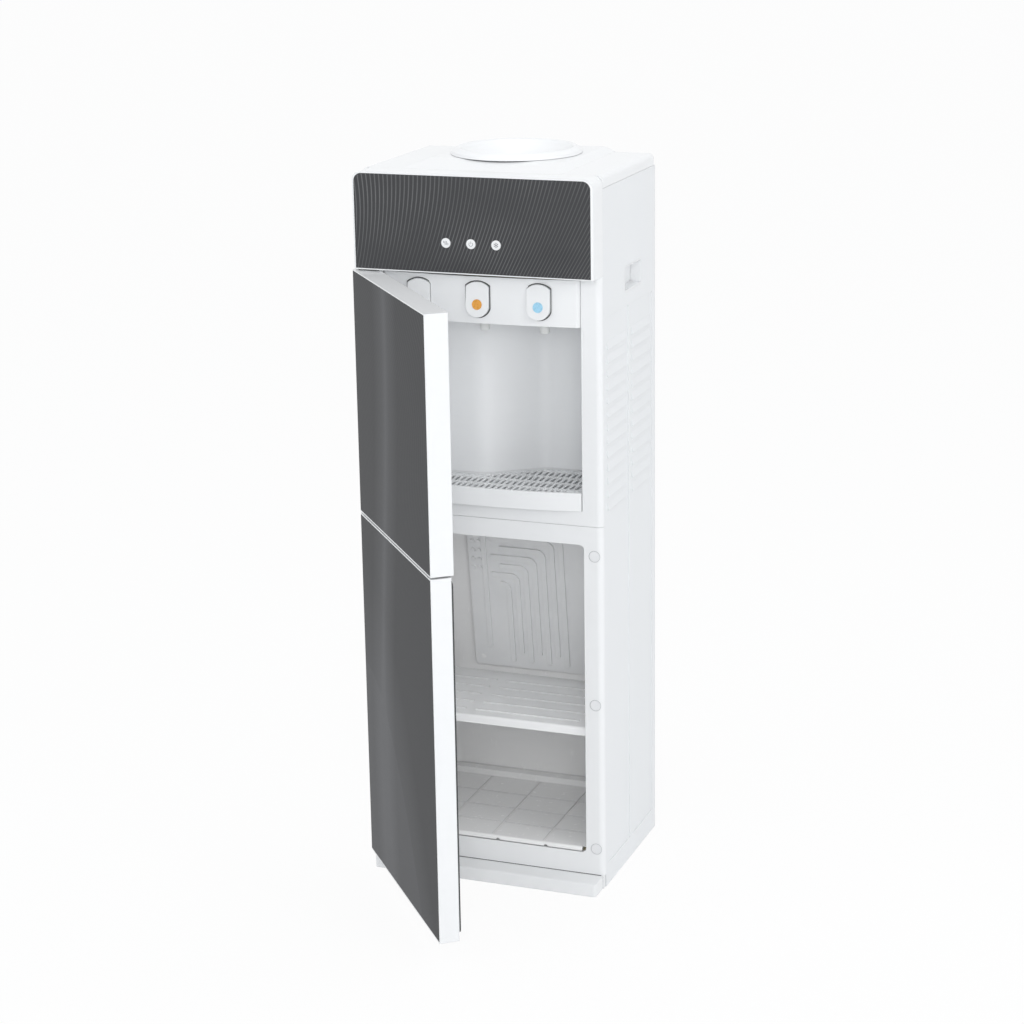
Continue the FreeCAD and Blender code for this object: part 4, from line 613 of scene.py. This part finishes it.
class DarkGlass(bpy.types.Operator):
    """Dark glass of the control panel and both doors, with curved hairlines"""
    bl_idname = "dispenser.dark_glass"
    bl_label = "Dark glass"

    def execute(self, context):
        looks = context.scene.dispenser_looks
        dress(PANEL_GLASS, hairline_glass(
            "panel_glass", looks, lean=0.0, middle=PANEL_MIDDLE, lines=0.62, sheen=0.0, shine=0.12))
        # The door panes also get bands of painted sheen.
        dress(DOOR_GLASSES, hairline_glass(
            "door_glass", looks, lean=DOOR_OPEN, middle=DOOR_MIDDLE, lines=0.10, sheen=0.8, shine=0.012))
        return {"FINISHED"}


class ColdCompartment(bpy.types.Operator):
    """Lining, shelf, cooling plate, door lining and gasket of the cold compartment"""
    bl_idname = "dispenser.cold_compartment"
    bl_label = "Cold compartment"

    def execute(self, context):
        looks = context.scene.dispenser_looks
        dress(("compartment_liner", "lower_door_lining"), moulded(
            "formed_lining", looks.lining, rough=0.24, grain=0.03, edge=1.4, coat=0.3, painted_shade=0.7))
        dress(("compartment_shelf",), moulded(
            "shelf_plastic", (0.93, 0.935, 0.94), rough=0.20, grain=0.02, edge=0.9, coat=0.5, painted_shade=0.4))
        dress(("cooling_plate",), coated_plate("coated_plate"))
        dress(("lower_door_gasket",), rubber_and_shade("door_seal", (0.055, 0.057, 0.06)))
        self.plate_plugs(moulded("plug_plastic", looks.lining, rough=0.3, grain=0.02, edge=0.4, coat=0.2))
        return {"FINISHED"}

    def plate_plugs(self, finish):
        """Domed plugs that hold the cooling plate to the lining."""
        low, high = box_of("cooling_plate")
        lean = Euler((math.pi / 2 + PLATE_LEAN, 0, 0))
        top_y = low.y + CHANNEL_HEIGHT
        profile = [(r * MM, h * MM) for r, h in ((4.2, -0.4), (4.2, 0.6), (3.6, 1.7), (2.2, 2.3), (0.6, 2.5))]

        def plugs(bm):
            for x in (low.x + PLUG_FROM_SIDE, high.x - PLUG_FROM_SIDE):
                for z in (low.z + PLUG_FROM_FOOT, high.z - PLUG_FROM_TOP):
                    lathe(bm, profile, Vector((x, top_y + (high.z - z) * math.tan(PLATE_LEAN), z)), lean, 20)

        piece("plate_plugs", plugs, finish, "cabinet")


class Taps(bpy.types.Operator):
    """Coloured marks of the tap buttons, and the valves behind them"""
    bl_idname = "dispenser.taps"
    bl_label = "Taps"

    def execute(self, context):
        dress(("tap_mark_left",), tinted_disc("red_mark", (0.72, 0.13, 0.19)))
        dress(("tap_mark_middle",), tinted_disc("amber_mark", (0.80, 0.36, 0.05)))
        dress(("tap_mark_right",), tinted_disc("blue_mark", (0.36, 0.66, 0.86)))
        dress(VALVES, moulded("valve_plastic", (0.72, 0.73, 0.72), rough=0.42, grain=0.06, edge=0.5, coat=0.0))
        # Painted shadow: a dark ring on the panel round each button stands for its shaded gap.
        gap = rubber_and_shade("button_gap", context.scene.dispenser_looks.ring_colour)
        for side in ("left", "middle", "right"):
            self.gap_ring(side, gap)
        return {"FINISHED"}

    def gap_ring(self, side, finish):
        """Dark ring of painted shadow on the tap panel, just outside the button's window, where the gap round the
        button falls in shade.
        """
        low, high = box_of("tap_button_" + side)
        face_y = low.y + BUTTON_STAND
        near, far, height = 0.62 * MM, 1.5 * MM, 0.35 * MM

        def ring(bm):
            rows = []
            for grow, lift in ((near, 0.0), (near, height), (far, height), (far, 0.0)):
                rows.append([bm.verts.new((x, face_y - lift, z)) for x, z in button_line(low, high, grow)])
            for k in range(4):
                bridge(bm, rows[k], rows[(k + 1) % 4])

        piece("button_gap_" + side, ring, finish, "cabinet")


class DripGrille(bpy.types.Operator):
    """Grille over the drip tray"""
    bl_idname = "dispenser.drip_grille"
    bl_label = "Drip grille"

    def execute(self, context):
        dress(("drip_grille",), moulded(
            "grille_plastic", (0.78, 0.79, 0.80), rough=0.26, grain=0.03, edge=0.4, coat=0.4))
        return {"FINISHED"}


class IndicatorLights(bpy.types.Operator):
    """Round lights of the control panel, each with a plain grey sign"""
    bl_idname = "dispenser.indicator_lights"
    bl_label = "Indicator lights"

    def execute(self, context):
        dress(("indicator_lenses",), moulded(
            "light_guide", (0.86, 0.87, 0.88), rough=0.2, grain=0.01, edge=0.8, coat=0.6))
        ink = moulded("grey_ink", (0.22, 0.23, 0.25), rough=0.5, grain=0.02, edge=0.0, coat=0.0)
        low, high = box_of("indicator_lenses")
        middle = Vector((0, low.y + 0.02 * MM, (low.z + high.z) / 2))
        pitch = Vector(((high.x - low.x) / 2 - LENS_RADIUS, 0, 0))
        for name, drawing, centre in (
                ("sign_heat", self.heat, middle - pitch),
                ("sign_power", self.power, middle),
                ("sign_cold", self.cold, middle + pitch)):
            piece(name, partial(drawing, centre), ink, "cabinet")
        return {"FINISHED"}

    def heat(self, centre, bm):
        """Three plumes, each of a lower and an upper bow."""
        spacing, rise, radius = 1.9 * MM, 1.2 * MM, 1.25 * MM
        half = math.pi / 2 * 0.85
        for i in (-1, 0, 1):
            for lift, facing in ((-rise, 0.0), (rise, math.pi)):
                bow = centre + Vector((i * spacing, 0, lift))
                arc(bm, bow, radius, facing - half, facing + half, SIGN_LINE, TRIM_DEPTH)

    def power(self, centre, bm):
        """Open circle with a stroke in its gap."""
        middle = centre - Vector((0, 0, 0.2 * MM))
        foot, top = Vector((0, 0, 0.8 * MM)), Vector((0, 0, 3.4 * MM))
        arc(bm, middle, 2.6 * MM, math.radians(130), math.radians(410), SIGN_LINE, TRIM_DEPTH)
        bar(bm, middle + foot, middle + top, SIGN_LINE, TRIM_DEPTH)

    def cold(self, centre, bm):
        """Six-armed frost star with a pair of twigs on each arm."""
        arm, twig, fork, twig_swing = 3.1 * MM, 1.2 * MM, 0.62, 0.7
        for i in range(3):
            a = math.pi * i / 3 + math.pi / 6
            reach = Vector((math.cos(a), 0, math.sin(a))) * arm
            bar(bm, centre - reach, centre + reach, SIGN_LINE, TRIM_DEPTH)
            for end in (-1, 1):
                tip = centre + reach * end * fork
                for swing in (-twig_swing, twig_swing):
                    b = a + (0 if end > 0 else math.pi) + swing
                    out = Vector((math.cos(b), 0, math.sin(b))) * twig
                    bar(bm, tip, tip + out, SIGN_LINE * 0.8, TRIM_DEPTH)


class MachineParts(bpy.types.Operator):
    """Compressor, condenser, tanks, insulation and control board"""
    bl_idname = "dispenser.machine_parts"
    bl_label = "Machine parts"

    def execute(self, context):
        dress(("compressor", "condenser"), moulded(
            "black_enamel", (0.012, 0.012, 0.013), rough=0.38, grain=0.1, edge=0.6, coat=0.1))
        dress(TANKS, metal("tank_steel", (0.66, 0.66, 0.65), rough=0.26, stretch=(1.0, 1.0, 14.0)))
        dress(FOAMS, foamed("rigid_foam", (0.78, 0.70, 0.46)))
        dress(("control_board",), laminate("circuit_board"))
        return {"FINISHED"}


class BackFittings(bpy.types.Operator):
    """Switches, mains bush and the screws that hold the back"""
    bl_idname = "dispenser.back_fittings"
    bl_label = "Back fittings"

    def execute(self, context):
        dress(("switch_bezel", "mains_gland"), moulded(
            "black_plastic", (0.014, 0.014, 0.015), rough=0.42, grain=0.1, edge=0.5, coat=0.0))
        dress(("rocker_left",), moulded(
            "red_rocker", (0.42, 0.02, 0.02), rough=0.22, grain=0.02, edge=0.4, coat=0.3))
        dress(("rocker_right",), moulded(
            "green_rocker", (0.02, 0.24, 0.06), rough=0.22, grain=0.02, edge=0.4, coat=0.3))
        self.screws()
        return {"FINISHED"}

    def screws(self):
        """Domed heads along the top, the middle and the foot of the rear cover, each with its cross recess drawn as
        black bars of painted shade.
        """
        low, high = box_of("rear_cover")
        left, right = low.x + SCREW_FROM_SIDE, high.x - SCREW_FROM_SIDE
        places = [(x, high.z - SCREW_FROM_END) for x in (left, 0.0, right)]
        for x in (left, right):
            places += [(x, (low.z + high.z) / 2), (x, low.z + SCREW_FROM_END)]
        profile = [(r * MM, h * MM) for r, h in ((3.6, 0.0), (3.6, 0.5), (3.1, 1.3), (2.0, 1.9), (0.8, 2.1))]
        recess_y = high.y + 2.16 * MM
        arm, slot_width, slot_depth = 1.5 * MM, 0.7 * MM, 0.5 * MM

        def heads(bm):
            for x, z in places:
                lathe(bm, profile, Vector((x, high.y, z)), BACKWARD, 20)

        def crosses(bm):
            for k, (x, z) in enumerate(places):
                centre = Vector((x, recess_y, z))
                for quarter in (0, 1):
                    a = 0.4 * k + quarter * math.pi / 2
                    reach = Vector((math.cos(a), 0, math.sin(a))) * arm
                    bar(bm, centre - reach, centre + reach, slot_width, slot_depth)

        steel = metal("screw_steel", (0.55, 0.56, 0.57), rough=0.3, stretch=(1.0, 1.0, 1.0), edge=0.2)
        piece("back_screws", heads, steel, "cabinet")
        # Painted shade: black bars in the cross recesses, dark for the shade inside them.
        piece("back_screw_recesses", crosses, rubber_and_shade("screw_recess", (0.02, 0.02, 0.02)), "cabinet")


class Stage(bpy.types.Operator):
    """Pale floor, soft lights and the camera at the photograph's view"""
    bl_idname = "dispenser.stage"
    bl_label = "Stage"

    def execute(self, context):
        studio = context.scene.dispenser_studio
        context.scene.view_settings.view_transform = "Standard"
        self.floor()
        self.room(studio.ambient)
        for name, setting, place, target, size in LAMPS:
            self.lamp(name, place, target, size, getattr(studio, setting))
        self.camera(studio.lens)
        return {"FINISHED"}

    def floor(self):
        """Pale matt floor that is seen nearly white and still takes the object's shadow."""
        s = material("pale_floor")
        grain = s.noise(s.place(), scale=3.0, detail=3.0)
        matt = s.node("ShaderNodeBsdfPrincipled", None, {
            "Base Color": s.mix(grain, (0.87, 0.875, 0.88, 1), (0.89, 0.895, 0.90, 1)),
            "Roughness": 0.7 + grain * 0.1,
        })
        glow = s.node("ShaderNodeEmission", None, {"Color": (1, 1, 1, 1), "Strength": 1.0})
        s.finish(s.node("ShaderNodeMixShader", None, {0: s.seen() * FLOOR_WHITENESS, 1: matt, 2: glow}))
        mesh = bpy.data.meshes.new("floor")
        corners = [(x * FLOOR_REACH, y * FLOOR_REACH, 0) for x, y in ((-1, -1), (1, -1), (1, 1), (-1, 1))]
        mesh.from_pydata(corners, [], [(0, 1, 2, 3)])
        mesh.materials.append(s.owner)
        floor = bpy.data.objects.new("floor", mesh)
        bpy.context.scene.collection.objects.link(floor)
        floor.location.z = -FLOOR_DROP

    def room(self, strength):
        """Soft light from all round, which is plain white where it is seen."""
        s = Shader(bpy.data.worlds.new("room"), "ShaderNodeOutputWorld")
        soft = s.node("ShaderNodeBackground", None, {"Color": (0.97, 0.985, 1.0, 1), "Strength": strength})
        white = s.node("ShaderNodeBackground", None, {"Color": (1, 1, 1, 1), "Strength": 1.0})
        bpy.context.scene.world = s.finish(s.node("ShaderNodeMixShader", None, {0: s.seen(), 1: soft, 2: white}))

    def lamp(self, name, place, target, size, power):
        """Round soft light aimed at a point."""
        light = bpy.data.lights.new(name, "AREA")
        light.shape = "DISK"
        light.size = size
        light.energy = power
        lamp = bpy.data.objects.new(name, light)
        lamp.location = place
        aim = Vector(target) - Vector(place)
        lamp.rotation_euler = aim.to_track_quat("-Z", "Y").to_euler()
        bpy.context.scene.collection.objects.link(lamp)

    def camera(self, lens):
        """Camera from its place, yaw, pitch and roll."""
        data = bpy.data.cameras.new("camera")
        data.lens = lens
        data.sensor_width = 36.0
        data.clip_end = 50.0
        camera = bpy.data.objects.new("camera", data)
        level = math.cos(CAMERA_PITCH)
        forward = Vector((-math.sin(CAMERA_YAW) * level, math.cos(CAMERA_YAW) * level, -math.sin(CAMERA_PITCH)))
        right = forward.cross(Vector((0, 0, 1))).normalized()
        up = right.cross(forward)
        turned_right = right * math.cos(CAMERA_ROLL) + up * math.sin(CAMERA_ROLL)
        turned_up = up * math.cos(CAMERA_ROLL) - right * math.sin(CAMERA_ROLL)
        axes = Matrix((turned_right, turned_up, -forward)).transposed()
        camera.matrix_world = Matrix.Translation(CAMERA_PLACE) @ axes.to_4x4()
        bpy.context.scene.collection.objects.link(camera)
        bpy.context.scene.camera = camera


STEPS = (
    WhiteMouldings, PaintedSteel, DarkGlass, ColdCompartment, Taps, DripGrille, IndicatorLights, MachineParts,
    BackFittings, Stage,
)


class DispenserPanel(bpy.types.Panel):
    """Sidebar panel with the settings and the steps"""
    bl_idname = "VIEW3D_PT_dispenser"
    bl_label = "Dispenser"
    bl_space_type = "VIEW_3D"
    bl_region_type = "UI"
    bl_category = "Dispenser"

    def draw(self, context):
        for group in (context.scene.dispenser_looks, context.scene.dispenser_studio):
            box = self.layout.box()
            for key in group.bl_rna.properties.keys():
                if key not in ("rna_type", "name"):
                    box.prop(group, key)
        for step in STEPS:
            self.layout.operator(step.bl_idname)


CLASSES = (DispenserLooks, DispenserStudio) + STEPS + (DispenserPanel,)


def register():
    """Add the classes and the two groups of settings."""
    for item in CLASSES:
        bpy.utils.register_class(item)
    bpy.types.Scene.dispenser_looks = bpy.props.PointerProperty(type=DispenserLooks)
    bpy.types.Scene.dispenser_studio = bpy.props.PointerProperty(type=DispenserStudio)


def unregister():
    """Take them away again."""
    del bpy.types.Scene.dispenser_studio
    del bpy.types.Scene.dispenser_looks
    for item in reversed(CLASSES):
        bpy.utils.unregister_class(item)


def main():
    """Run every step in order."""
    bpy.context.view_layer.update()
    register()
    for step in STEPS:
        name = step.bl_idname.split(".")[1]
        getattr(bpy.ops.dispenser, name)()


if __name__ == "__main__":
    main()
